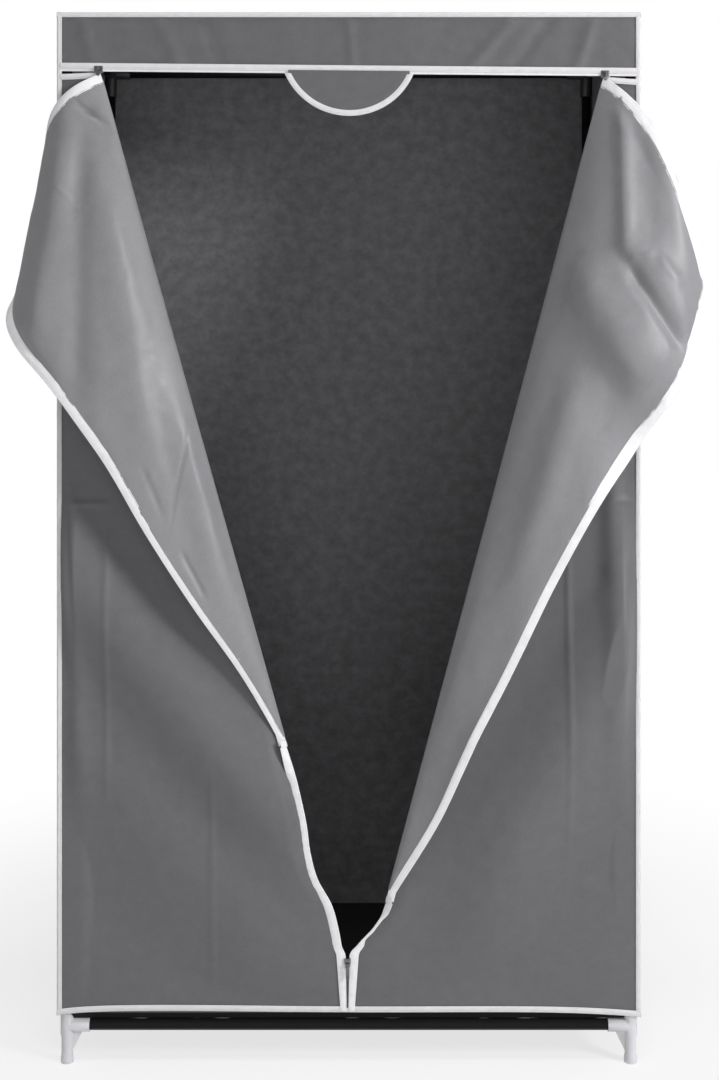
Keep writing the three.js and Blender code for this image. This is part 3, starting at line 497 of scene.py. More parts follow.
def hard_material(name, colour, roughness, metallic=0.0, grain=900.0, relief=0.25, wear=0.06, shine=0.5):
    """A hard finish with a fine grain, faint marks and uneven gloss."""
    material, shader, add, feed = new_material(name)
    place = add("TexCoord", "Object", {})
    marks = noise(add, place, 90.0, 6.0, Roughness=0.65)
    feed(shader, {
        "Base Color": shaded(add, colour, ranged(add, marks, 1 - wear, 1 + wear * 0.4)),
        "Roughness": ranged(add, marks, roughness + 0.08, roughness - 0.05),
        "Normal": bumped(add, noise(add, place, grain, 2.0), relief, 0.04 * MM),
        "Metallic": metallic,
        "Specular IOR Level": shine,
    })
    return material


COVER = cloth_material("cover_cloth", grey(0.128), roughness=0.5)
COVER_INSIDE = cloth_material("cover_cloth_inside", grey(0.22), cloud=0.26, fibre=0.14, roughness=0.8)
FLAP_INSIDE = cloth_material("flap_cloth_inside", grey(0.255), cloud=0.05, fibre=0.09, roughness=0.42)
BASE = cloth_material("base_cloth", grey(0.009, 1.1), cloud=0.1, fibre=0.2, roughness=0.8, shine=0.16,
                      sheen=0.01)
TAPE = tape_material("white_tape", grey(0.9, 1.01))
BAND = tape_material("white_binding", grey(0.74, 1.01))
THREAD = tape_material("white_thread", grey(0.84, 1.0))
COIL = hard_material("zip_coil", grey(0.09, 1.02), 0.5, grain=1500.0)
STEEL = hard_material("black_steel", grey(0.005, 1.02), 0.42, relief=0.3, shine=0.26)
PLASTIC = hard_material("white_plastic", grey(0.68, 1.03), 0.42, grain=700.0, relief=0.15, wear=0.03)
DARK_PLASTIC = hard_material("dark_plastic", grey(0.035, 1.02), 0.45, grain=700.0, relief=0.2, wear=0.1)
METAL = hard_material("zip_metal", grey(0.2, 1.0), 0.34, metallic=1.0, grain=1800.0, relief=0.3, wear=0.35)


# The flaps' surfaces, as the frame has them. Each row, from the top down, has the two handles and the free edge
# of a curve from the fold: shares across, beyond the cover's edge, down and forward.

LEFT_ROW_SHARES = [
    [[0.55, 0, 0.06, 0.055], [1, 1.039, 0.139, 0.1], [1, 0.179, 0.524, -0.38]],
    [[0.464, 0, 0.058, 0.105], [1, 1.221, 0.235, 0.155], [1, 0.868, 0.413, -0.2]],
    [[0.344, 0, 0.071, 0.125], [1, 0.516, 0.237, 0.19], [1, 1.112, 0.325, 0.035]],
    [[0.248, 0, 0.059, 0.12], [0.695, 0, 0.168, 0.175], [0.961, 0, 0.257, 0.125]],
    [[0.178, 0, 0.044, 0.1], [0.434, 0, 0.128, 0.155], [0.62, 0, 0.191, 0.135]],
    [[0.118, 0, 0.034, 0.08], [0.295, 0, 0.098, 0.125], [0.422, 0, 0.142, 0.125]],
    [[0.066, 0, 0.023, 0.06], [0.176, 0, 0.061, 0.095], [0.255, 0, 0.09, 0.1]],
    [[0.032, 0, 0.011, 0.035], [0.082, 0, 0.029, 0.055], [0.112, 0, 0.038, 0.05]],
    [[0.006, 0, 0.002, 0.006], [0.011, 0, 0.004, 0.011], [0.017, 0, 0.006, 0.012]],
]
RIGHT_ROW_SHARES = [
    [[0.6, 0, 0.075, 0.06], [1, 0.652, 0.207, 0.17], [1, 1.612, 0.833, 0.08]],
    [[0.471, 0, 0.077, 0.13], [0.93, 0, 0.412, 0.245], [1, 0.702, 0.797, 0.17]],
    [[0.317, 0, 0.072, 0.13], [0.64, 0, 0.342, 0.215], [0.816, 0, 0.639, 0.13]],
    [[0.188, 0, 0.066, 0.115], [0.424, 0, 0.267, 0.19], [0.534, 0, 0.462, 0.172]],
    [[0.132, 0, 0.054, 0.092], [0.286, 0, 0.205, 0.155], [0.345, 0, 0.355, 0.154]],
    [[0.09, 0, 0.041, 0.07], [0.196, 0, 0.141, 0.12], [0.238, 0, 0.256, 0.14]],
    [[0.057, 0, 0.027, 0.05], [0.12, 0, 0.092, 0.09], [0.146, 0, 0.166, 0.12]],
    [[0.032, 0, 0.016, 0.03], [0.071, 0, 0.053, 0.055], [0.096, 0, 0.085, 0.075]],
    [[0.005, 0, 0.003, 0.006], [0.009, 0, 0.006, 0.01], [0.013, 0, 0.01, 0.012]],
]

# The flaps' folds where the camera sees them on the front, and their slow waves: stretch, slant and seed
FLAP_CREASES = {
    "left": (
        (-0.428, 1.5, -0.505, 1.02, 0.019, 7), (-0.418, 1.49, -0.43, 0.94, 0.02, -8),
        (-0.392, 1.42, -0.3, 0.86, 0.028, 6), (-0.33, 1.12, -0.235, 0.72, 0.018, -3),
        (-0.27, 1.06, -0.19, 0.62, 0.02, 4), (-0.358, 1.418, -0.428, 1.468, 0.008, -8, 0.03),
        (-0.418, 1.463, -0.352, 1.412, 0.0055, -4.5), (-0.25, 0.98, -0.288, 0.8, 0.0032, -2.2),
        (-0.332, 0.92, -0.29, 0.82, 0.006, -2.0), (-0.272, 0.79, -0.226, 0.7, 0.005, -2.4),
        (-0.458, 1.336, -0.43, 1.31, 0.004, 1.4), (-0.43, 1.3, -0.405, 1.302, 0.004, 1.2),
    ),
    "right": (
        (0.402, 1.53, 0.41, 1.17, 0.013, 7), (0.436, 1.47, 0.45, 1.2, 0.02, -5),
        (0.485, 1.4, 0.498, 1.15, 0.016, 3.5), (0.385, 1.252, 0.52, 1.052, 0.011, -9),
        (0.32, 1.24, 0.46, 1.0, 0.045, 21), (0.412, 1.275, 0.545, 1.075, 0.022, 6),
        (0.408, 1.224, 0.458, 1.24, 0.008, 3), (0.45, 1.238, 0.492, 1.18, 0.008, 3),
        (0.4, 1.08, 0.36, 0.92, 0.025, -4), (0.36, 1.12, 0.22, 0.66, 0.03, 7),
    ),
}
FLAP_WAVES = {"left": (1.6, 0.4, 11), "right": (1.5, -0.4, 21)}


def joint_named(name):
    """One of the frame's joints."""
    return next(joint for joint in frame["joints"] if joint["name"] == name)


def seen_at(points):
    """Where the camera sees points, as x and z on the plane of the front."""
    eye = np.array([MIDDLE_X + CAMERA_ASIDE, FRONT_Y - CAMERA_DISTANCE, CAMERA_HEIGHT])
    ray = points - eye
    reach = CAMERA_DISTANCE / ray[..., 1]
    return eye[0] + ray[..., 0] * reach, eye[2] + ray[..., 2] * reach


class Flap:
    """One front flap: its fold line and its surface from the fold, v = 0, to the free edge, v = 1."""

    def __init__(self, side, sx, shares):
        self.side, self.sx = side, sx
        joint = joint_named(f"{side}_flap_fold")
        foot = self.foot = np.array(joint["pos_m"], float)
        axis = np.array(joint["axis"], float) * np.sign(joint["axis"][2])
        reach = (BAND_Z - FLAP_TOP_DROP - foot[2] + VALANCE_TILT_SHARE * (MIDDLE_X - foot[0])) / (
            axis[2] + VALANCE_TILT_SHARE * axis[0])
        self.top = foot + axis * reach
        self.edge, self.wall = (COVER_LOW.x, COVER_HIGH.x)[sx > 0], SPAN_X[sx > 0]
        self.fold_length = np.linalg.norm(self.top - self.foot)
        top_edge, depth = abs(self.top[0] - ZIP_X), COVER_HIGH.y - COVER_LOW.y
        across, beyond, down, forward = np.array(shares).transpose(2, 1, 0)
        x, y, z = self.fold(np.arange(len(shares)) * ROW_STEP_SHARE).T
        self.columns = np.stack([x + (self.edge - x) * across + sx * beyond * CURL_REACH,
                                 y - forward * depth, z - down * top_edge], -1)
        inward = unit(np.cross(FORWARD, unit(self.top - self.foot)))
        self.inward = -inward if inward[0] * sx > 0 else inward

    def fold(self, u):
        """Points on the straight fold line."""
        return self.top + (self.foot - self.top) * np.asarray(u)[..., None]

    def surface(self, u, v):
        """Points on the flap for arrays u and v of one shape."""
        v = np.asarray(v)[..., None]
        a, b, c = (rounded_through(points, u) for points in self.columns)
        return (1 - v) ** 3 * self.fold(u) + 3 * (1 - v) ** 2 * v * a + 3 * (1 - v) * v**2 * b + v**3 * c

    def lifted(self, base, facing, u, v):
        """Points of the surface with its folds: fewer at the fold line, the foot and the two taped edges."""
        x, z = seen_at(base)
        stretch, slant, seed = FLAP_WAVES[self.side]
        slow = 1.6 * MM * drift(x * stretch + z * slant, z * 0.7, 0.07, seed)
        lift = creases(x, z, FLAP_CREASES[self.side]) + slow + 0.4 * MM * drift(x, z, 0.018, seed + 1)
        share = smooth(v / 0.2) * (1 - 0.85 * smooth((v - 0.86) / 0.12))
        share = share * smooth((1 - u) / 0.15) * (0.15 + 0.85 * smooth((u - 0.008) / 0.025))
        return base + facing * (lift * share)[..., None]

    @staticmethod
    def roll_radius(u):
        """How softly the cloth rolls at the fold: least at the top corner and towards the foot."""
        share = smooth((u - 0.02) / 0.2) * smooth((1.02 - u) / 0.55)
        return FOLD_RADIUS + (ROLL_RADIUS - FOLD_RADIUS) * share

    def roll(self, u, turns):
        """The cloth's roll round the fold, from the panel to where the flap leaves it."""
        leave = unit(self.surface(u, np.full_like(u, 0.02)) - self.fold(u))
        turn = np.arctan2(leave @ FORWARD, leave @ self.inward)
        radius = self.roll_radius(u)[:, None]
        centre = self.fold(u) - self.inward * radius + FORWARD * radius
        angles = (turn[:, None] * np.linspace(0, 1, turns)[None])[..., None]
        return centre[:, None] + radius[..., None] * (np.sin(angles) * self.inward - np.cos(angles) * FORWARD)

    def roll_shift(self, u, reach, lengths):
        """How far the roll carries the cloth, which runs out with the distance from the fold."""
        start = self.roll(u, 2)[:, -1] - self.fold(u)
        fade = 1 - smooth(reach / np.minimum(0.16, 0.8 * lengths))
        return start[:, None] * fade[..., None] if fade.ndim > 1 else start * fade[:, None]

    def row_lengths(self, u):
        """The length of each row from the fold to the free edge."""
        points = self.surface(*np.meshgrid(u, np.linspace(0, 1, 40), indexing="ij"))
        return lengths_along(points, 1)[:, -1]

    def line(self, u, v):
        """Points of the cloth, folds included, along a line of u and v."""
        base, step = self.surface(u, v), 0.002
        down = self.surface(np.minimum(u + step, 1), v) - self.surface(np.maximum(u - step, 0), v)
        out = self.surface(u, np.minimum(v + step, 1)) - self.surface(u, np.maximum(v - step, 0))
        facing = toward_front(unit(np.cross(down, out)), len(u) // 2)
        lengths = self.row_lengths(u)
        return self.lifted(base, facing, u, v) + self.roll_shift(u, v * lengths, lengths)


FLAPS = (Flap("left", -1, LEFT_ROW_SHARES), Flap("right", 1, RIGHT_ROW_SHARES))


def add_flap(flap):
    """A flap's cloth, rolled at its fold."""
    rows, columns, turns = 340, 120, 13
    u = np.linspace(FLAP_TAPE_WIDTH / flap.fold_length * 0.6 - TOP_REACH_SHARE, 0.985, rows)
    lengths = flap.row_lengths(u)
    under_tape = 1 - np.minimum(FLAP_TAPE_WIDTH * 0.7 / lengths, 0.9)
    v = np.linspace(0, 1, columns)[None] ** 1.15 * under_tape[:, None]
    grid_u = np.repeat(u[:, None], columns, 1)
    base = flap.surface(grid_u, v)
    sheet = flap.lifted(base, toward_front(normals_of(base), (rows // 2, -1)), grid_u, v)
    sheet = sheet + flap.roll_shift(u, v * lengths[:, None], lengths[:, None])
    points = np.concatenate([flap.roll(u, turns)[:, :-1], sheet], 1)
    if flap.sx > 0:
        points = points[::-1]
    looks = [FLAP_INSIDE, COVER]
    if normals_of(points)[rows // 2, -1, 1] > 0:
        looks.reverse()
    made = cloth(f"{flap.side}_flap_cloth", points, looks)
    made.parent = None
    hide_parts(f"flap_{flap.side}")
    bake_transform(made)


def flap_edge(flap):
    """The inner and outer edge lines of a flap's tape, from the fold round the corner to the foot."""
    top_rows, side_rows = 70, 330
    v_top = np.linspace(0, 1, top_rows)
    u_side = np.linspace(-TOP_REACH_SHARE, 0.995, side_rows)
    start = 1 - np.minimum(FLAP_TAPE_WIDTH / flap.row_lengths(np.maximum(u_side, 0)), 1)
    top_line = flap.surface(np.zeros(top_rows), v_top)
    lean = np.abs(unit(np.gradient(top_line, axis=0)) @ unit(flap.foot - flap.top))
    across_share = FLAP_TAPE_WIDTH / flap.fold_length / np.sqrt(np.maximum(1 - lean**2, 0.3))
    top_share = across_share - TOP_REACH_SHARE
    outer = flap.line(np.concatenate([np.full(top_rows, -TOP_REACH_SHARE), u_side[1:]]),
                      np.concatenate([v_top, np.ones(side_rows - 1)]))
    inner_u = np.concatenate([top_share, np.maximum(u_side[1:], top_share[-1])])
    inner = flap.line(inner_u, np.concatenate([v_top * start[0], start[1:]]))
    # The side's tape is twisted to face the front, less so near the foot
    along = unit(np.gradient((inner + outer) / 2, axis=0))
    across = outer - inner
    flat = np.cross(along, np.array([0, 1.0, 0]))
    flat = unit(flat * np.where((flat * across).sum(1) < 0, -1, 1)[:, None])
    turned = smooth((inner_u - 0.165) / 0.13) * TAPE_FLARE_SHARE
    turned = turned * (1 - 0.5 * smooth((inner_u - 0.86) / 0.12))
    turned = np.where(np.arange(len(inner_u)) < top_rows, 0, turned)[:, None]
    width = np.maximum(np.linalg.norm(across, axis=1, keepdims=True), FOOT_TAPE_WIDTH)
    return inner, inner + unit(unit(across) * (1 - turned) + flat * turned) * width


def add_flap_tape(flap):
    """The white zip tape on a flap's two free edges: it stands out on both faces, stitched in front."""
    inner, outer = flap_edge(flap)
    along = np.gradient((inner + outer) / 2, axis=0)
    facing = toward_front(unit(np.cross(along, outer - inner)), 10)
    body, sunk = f"{flap.side}_flap", facing * FLAP_TAPE_THICKNESS / 2
    made = band(f"{body}_tape", inner - sunk, outer - sunk, facing, TAPE, 31 + flap.sx, body,
                FLAP_TAPE_THICKNESS)
    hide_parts(f"flap_tape_{flap.side}")
    stitched = slice(2, -8)
    stitch_rows(f"{body}_tape_stitches", inner[stitched], outer[stitched], facing[stitched],
                0.14, body=body, lift=0.1 * MM)


# The cover's walls


def panel(name, node, columns, rows, span, fall, place, flat=None,
          looks=(COVER, COVER_INSIDE)):
    """A panel of cloth that stands for a node: place turns grids over its span and fall into points."""
    across, down = np.meshgrid(np.linspace(0, 1, columns), np.linspace(0, 1, rows))
    grids = (start + (end - start) * share for (start, end), share in ((span, across), (fall, down)))
    made = cloth(name, place(*grids), looks)
    flat = flat or (abs(span[1] - span[0]), abs(fall[1] - fall[0]))
    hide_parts(node)


def fabric_waves(a, b, seed):
    """The soft unevenness of a hung wall, with the straight creases of its packing."""
    lift = 2.6 * MM * drift(a, b * 0.35, 0.16, seed) + 1.0 * MM * drift(a, b * 0.6, 0.06, seed + 1)
    lift += 0.25 * MM * drift(a, b, 0.014, seed + 2)
    width, height, pitch = 0.0035, 0.5 * MM, 0.43
    for k, place in enumerate((0.11, 0.215, 0.32)):
        ridge = np.exp(-((np.abs((a % pitch) - place) / width) ** 2))
        lift += height * ridge * (0.6 + 0.4 * drift(a, b, 0.2, seed + 3 + k))
    for place in (0.36, 0.72, 1.08):
        lift += height * np.exp(-(((b - place) / width) ** 2)) * (0.6 + 0.4 * drift(a, b, 0.12, seed + 9))
    return lift


def edge_fade(a, b, span_a, span_b, reach=0.035):
    """A share that falls to 0 towards a panel's four seams."""
    fade = smooth((a - span_a[0]) / reach) * smooth((span_a[1] - a) / reach)
    return fade * smooth((b - span_b[0]) / reach) * smooth((span_b[1] - b) / reach)


def packing_creases(across, z, span):
    """The faint ridges left by folding the cover flat in its packing: level ones and upright ones."""
    low, high = span
    rows = [(low, ROOF_Z * share, high, ROOF_Z * share + 4 * MM, 0.006, height)
            for share, height in ((0.22, -1.5), (0.4, 1.8), (0.6, -1.5), (0.79, 1.8))]
    for share, height in ((0.34, 1.5), (0.67, -1.3)):
        line = low + (high - low) * share
        rows.append((line, HEM_Z, line + 3 * MM, ROOF_Z, 0.006, height))
    return creases(across, z, rows)


def add_back_and_sides():
    """The back, the two sides and the roof, drawn between their bindings."""
    fall = SPAN_Z[::-1]

    def back(x, z):
        lift = fabric_waves(x - SPAN_X[0], z, 41) + 0.6 * packing_creases(x, z, SPAN_X)
        lift = np.clip(lift * edge_fade(x, z, SPAN_X, SPAN_Z), -4 * MM, 4 * MM)
        return np.stack([x, SPAN_Y[1] - CLOTH_BACKSET + lift, z], -1)

    panel("back_cloth", "back_panel", 150, 240, SPAN_X[::-1], fall, back)
    for flap in FLAPS:

        def flank(y, z):
            lift = fabric_waves(y - SPAN_Y[0], z, 51 + flap.sx) + packing_creases(y, z, SPAN_Y)
            lift = np.clip(lift * edge_fade(y, z, SPAN_Y, SPAN_Z), -3 * MM, 5 * MM)
            return np.stack([flap.wall + flap.sx * (lift - CLOTH_BACKSET), y, z], -1)

        panel(f"{flap.side}_side_cloth", f"side_panel_{flap.side}", 80, 240, SPAN_Y[::flap.sx], fall, flank)

    def roof(x, y):
        fade = edge_fade(x, y, SPAN_X, SPAN_Y, 0.05)
        sag = 5 * MM * fade + 1.5 * MM * drift(x, y, 0.1, 61) * fade
        return np.stack([x, y, ROOF_Z - CLOTH_BACKSET - np.maximum(sag, 0)], -1)

    panel("roof_cloth", "roof_panel", 120, 70, SPAN_X, SPAN_Y[::-1], roof)


# How far the opening gapes below each fold, as shares of its width at the fold's foot, down to the zip
OPENING_SHARES = {
    "left": (1, 0.86, 0.75, 0.66, 0.6, 0.48, 0.24, 0.12, 0.045),
    "right": (1, 0.93, 0.86, 0.74, 0.6, 0.42, 0.25, 0.12, 0.05),
}
# The front panels' folds beside the opening and packing creases
PANEL_CREASES = {
    "left": (
        (-0.64, 1.0, 0.0, 0.22, 0.065, 29), (-0.6, 0.66, 0.02, 0.02, 0.06, 8),
        (-0.5, 0.34, -0.15, 0.02, 0.05, -4), (-0.45, 1.0, -0.41, 0.3, 0.014, 3),
        (-0.38, 0.87, -0.38, 0.35, 0.005, 1.5), (-0.48, 0.853, -0.36, 0.853, 0.005, 1.5),
        (-0.22, 0.5, -0.22, 0.06, 0.005, 1.2),
    ),
    "right": (
        (0.61, 1.0, 0.1, 0.1, 0.066, 31), (0.3, 1.1, 0.02, 0.36, 0.05, -8),
        (0.45, 0.4, 0.12, 0.0, 0.05, -5), (0.385, 1.02, 0.39, 0.4, 0.017, 7),
        (0.32, 0.9, 0.32, 0.25, 0.005, 1.6), (0.32, 0.858, 0.45, 0.858, 0.005, 1.6),
    ),
}
VALANCE_CREASES = (
    (0.12, 1.46, 0.3, 1.66, 0.01, 3), (0.2, 1.46, 0.34, 1.66, 0.012, -2.5),
    (0.31, 1.44, 0.38, 1.66, 0.01, 2.6), (-0.34, 1.66, -0.23, 1.44, 0.012, 2.4),
    (-0.27, 1.66, -0.17, 1.44, 0.01, -2), (-0.02, 1.67, 0.0, 1.43, 0.007, 1.6),
    (-0.43, 1.66, -0.39, 1.44, 0.012, 2.6),
)


def opening_edge(flap, z):
    """The x of a front panel's free edge: the fold line, then the curve down to the zip."""
    top, foot = flap.top, flap.foot
    fold_x = foot[0] + (top[0] - foot[0]) * (z - foot[2]) / (top[2] - foot[2])
    reach = np.clip((foot[2] - z) / (foot[2] - OPEN_ZIP_Z), 0, 1)
    share = rounded_through(np.array(OPENING_SHARES[flap.side])[:, None], reach)[..., 0]
    below = ZIP_X + flap.sx * (abs(foot[0] - ZIP_X) * share + COIL_WIDTH / 2)
    return np.where(z > foot[2], fold_x, below)


def add_front_panel(flap):
    """A front panel: from the corner binding to the fold of its flap, and down to the zip."""
    sx, wall, top, foot = flap.sx, flap.wall, flap.top, flap.foot
    low, head = SPAN_Z[0], band_bottom(top[0]) - PANEL_TOP_GAP

    def place(a, b):
        z = head - (head - low) * b
        z = z + (band_bottom(wall) - band_bottom(top[0])) * (1 - a) * smooth(1 - b * 8)
        rolled = smooth((z - foot[2] + 0.01) / 0.02)
        u = (top[2] - z) / (top[2] - foot[2])
        edge = opening_edge(flap, z)
        inner = edge + sx * (flap.roll_radius(np.clip(u, 0, 1)) * 1.02 * rolled + 3 * MM * (1 - rolled))
        x = wall + (inner - wall) * a
        lift = creases(x, z, PANEL_CREASES[flap.side])
        lift = lift + (2.4 * MM * drift(x, z * 0.5, 0.11, 71 + sx) + 0.4 * MM * drift(x, z, 0.02, 73 + sx))
        lift = lift * smooth(np.abs(x - edge) / 0.03)
        fade = smooth(np.abs(x - wall) / 0.03) * smooth((z - low) / 0.05)
        least = -8 * MM * smooth((np.abs(x - wall) - 0.035) / 0.03)
        return np.stack([x, FOLD_Y - np.maximum(np.minimum(lift, 34 * MM) * fade, least), z], -1)

    flat = (abs(wall - ZIP_X), head - low)
    panel(f"front_cloth_{flap.side}", f"front_panel_{flap.side}", 130, 400, (0, 1)[::-sx], (0, 1), place,
          flat)


def add_valance():
    """The strip of cloth over the opening, with its slight slanting creases."""

    def place(x, b):
        low, high = band_bottom(x) + 4 * MM, SPAN_Z[1]
        z = high - (high - low) * b
        lift = creases(x, z, VALANCE_CREASES)
        lift = lift + (1.2 * MM * drift(x, z * 0.6, 0.06, 81) + 0.3 * MM * drift(x, z, 0.016, 82))
        lift = lift * edge_fade(x, z, SPAN_X, (low, high), 0.012)
        return np.stack([x, FOLD_Y - np.clip(lift, -2 * MM, 4 * MM), z], -1)

    panel("valance_cloth", "valance", 260, 34, SPAN_X, (0, 1), place,
          (SPAN_X[1] - SPAN_X[0], VALANCE_FLAT_HEIGHT))


# Bindings, tapes and zips. A binding's leg has stops, as shares of its width from its edge to the fold. At each
# it has a dip below its highest level, as a share of its thickness, and the last dip holds for the rest.
LEG_STOPS = (1.0, 0.985, 0.86, 0.8, 0.72, 0.5, 0.3)
LEG_DIPS = (1.0, 0.35, 0.05, 0.4, 0.12, 0.1)


def wrap_binding(name, spine, first, second, radius, seed):
    """A binding folded round an edge: two legs from a rounded spine, in directions first and second."""
    run = run_along(spine)
    outline = [(share * BINDING_WIDTH, 0.0) for share in LEG_STOPS]
    for k in range(7):
        angle = math.pi / 2 * k / 6
        outline.append((radius * (1 - math.sin(angle)), radius * (1 - math.cos(angle))))
    outline += [(0.0, share * BINDING_WIDTH) for share in reversed(LEG_STOPS)]
    section, last = [], len(outline) - 1
    for k, (a, b) in enumerate(outline):
        dip = LEG_DIPS[min(k, last - k, len(LEG_DIPS) - 1)] * BINDING_THICKNESS
        wave = 0.22 * MM * drift(run, k * 0.7 * MM, 10 * MM, seed)
        ripple = 0.12 * MM * drift(run, k * 0.4 * MM, 4 * MM, seed + 3)
        inset = (dip + 0.12 * MM - (wave + ripple) * 0.7)[:, None]
        if k < last // 2 - 1:
            b = inset
        elif k > last // 2 + 1:
            a = inset
        else:
            a, b = a + inset * 0.7, b + inset * 0.7
        section.append(spine + (first * a + second * b))
    back, far = BINDING_THICKNESS, BINDING_WIDTH * 0.96
    section += [spine + first * a + second * b for a, b in ((back, far), (back, back), (far, back))]
    made = closed_strip(name, section, run, BAND, "root", 50)
    for leg, across, label in ((first, second, "a"), (second, first, "b")):
        stitch_row(f"{name}_stitches_{label}", spine + leg * BINDING_REACH + across * 0.45 * MM,
                   -across)
    return made


def hem_sag(x):
    """How far the front hem stands off its level line: it dips at both corners, more at the right."""
    share = (x - COVER_LOW.x) / (COVER_HIGH.x - COVER_LOW.x)
    level = 3 * MM + 0.9 * MM * np.sin(share * 9) - 1.5 * MM * share
    return level - 6.5 * MM * np.exp(-share / 0.045) - 8 * MM * np.exp(-(1 - share) / 0.1)


# The cover's sides from above: where each one starts and ends, and the way it faces
COVER_SIDES = {
    "front": ((COVER_LOW.x, COVER_LOW.y), (COVER_HIGH.x, COVER_LOW.y), (0, -1.0, 0)),
    "right": ((COVER_HIGH.x, COVER_LOW.y), (COVER_HIGH.x, COVER_HIGH.y), (1.0, 0, 0)),
    "rear": ((COVER_HIGH.x, COVER_HIGH.y), (COVER_LOW.x, COVER_HIGH.y), (0, 1.0, 0)),
    "left": ((COVER_LOW.x, COVER_HIGH.y), (COVER_LOW.x, COVER_LOW.y), (-1.0, 0, 0)),
}


def add_edge_bindings():
    """Bindings down the four corner seams and round the roof's edges."""
    low, high = COVER_LOW, COVER_HIGH
    for k, (name, x, y) in enumerate((("front_left", low.x, low.y), ("front_right", high.x, low.y),
                                      ("rear_left", low.x, high.y), ("rear_right", high.x, high.y))):
        toward_x = np.array([1.0 if x == low.x else -1.0, 0, 0])
        toward_y = np.array([0, 1.0 if y == low.y else -1.0, 0])
        foot = HEM_Z + HEM_BINDING_WIDTH * 0.8 + (hem_sag(x) if y == low.y else 0)
        spine = line_of((x, y, foot), (x, y, high.z - BINDING_WIDTH * 0.5), count=420)
        wrap_binding(f"corner_binding_{name}", spine, toward_x, toward_y, 3.2 * MM, 101 + k)
    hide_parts("edge_binding")
    for k, (name, way) in enumerate((("front", 1), ("rear", -1), ("left", -1), ("right", 1))):
        *ends, facing = COVER_SIDES[name]
        start, end = ends[::way]
        spine = line_of((*start, high.z), (*end, high.z), count=260)
        wrap_binding(f"roof_binding_{name}", spine, -np.array(facing), DOWN, 2.6 * MM, 111 + k)


def add_hem_binding():
    """The white binding round the hem, one strip on each side."""
    for k, (name, (start, end, facing)) in enumerate(COVER_SIDES.items()):
        facing = np.array(facing)
        line = line_of((*start, HEM_Z), (*end, HEM_Z), count=300) - facing * BINDING_THICKNESS
        if name == "front":
            line[:, 2] += hem_sag(line[:, 0])
        elif name != "rear":
            line[:, 2] += hem_sag(start[0]) * np.exp(-(line[:, 1] - FRONT_Y) / HEM_DIP_REACH)
        top = line - DOWN * HEM_BINDING_WIDTH
        band(f"hem_binding_{name}", line, top, facing, BAND, 121 + k)
        stitched = line * 0.16 + top * 0.84 + facing * BINDING_THICKNESS * 0.62
        stitch_row(f"hem_stitches_{name}", stitched, facing)
    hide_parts("hem_binding")


def front_line(x, z, behind):
    """A line across the front, at a distance behind its outer plane."""
    return np.stack([x, np.full_like(x, FRONT_Y + behind), z], 1)


def add_valance_bands():
    """The valance's hem band and the zip tape that shows below it."""
    x = np.linspace(COVER_LOW.x + BINDING_REACH, COVER_HIGH.x - BINDING_REACH, 420)
    low = front_line(x, band_bottom(x), 1.2 * MM)
    band("valance_zip_tape", low, low - DOWN * VALANCE_ZIP_TAPE_WIDTH, FORWARD, TAPE, 131, thickness=1.0 * MM,
         pucker=0.12 * MM)
    low = front_line(x, band_bottom(x) + VALANCE_BAND_LIFT, 0.3 * MM)
    high = low - DOWN * VALANCE_BAND_WIDTH
    made = band("valance_hem_band", low, high, FORWARD, BAND, 133)
    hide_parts("valance_tape")
    stitch_rows("valance_band_stitches", low, high, FORWARD, 0.16, 0.98 * MM, labels=("low", "high"))


def add_panel_top_tape(flap):
    """The tail of a front panel's own top tape, from the corner to the end of the zip."""
    side, sx = flap.side, flap.sx
    outer, inner = flap.edge - sx * BINDING_REACH, flap.top[0] + sx * 10 * MM
    x = np.linspace(outer, inner, 60)
    droop = 2.2 * MM * smooth(np.abs(x - inner) / abs(outer - inner)) - 0.5 * MM
    high = front_line(x, band_bottom(x) - PANEL_TOP_GAP + 1 * MM - droop, 0.4 * MM)
    low = high + DOWN * PANEL_TAPE_WIDTH
    made = band(f"panel_top_tape_{side}_piece", low, high, FORWARD, BAND, 141 + sx)
    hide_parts(f"panel_top_tape_{side}")
    stitch_row(f"panel_top_stitches_{side}", low + (high - low) * 0.17 + FORWARD * 0.95 * MM, FORWARD)


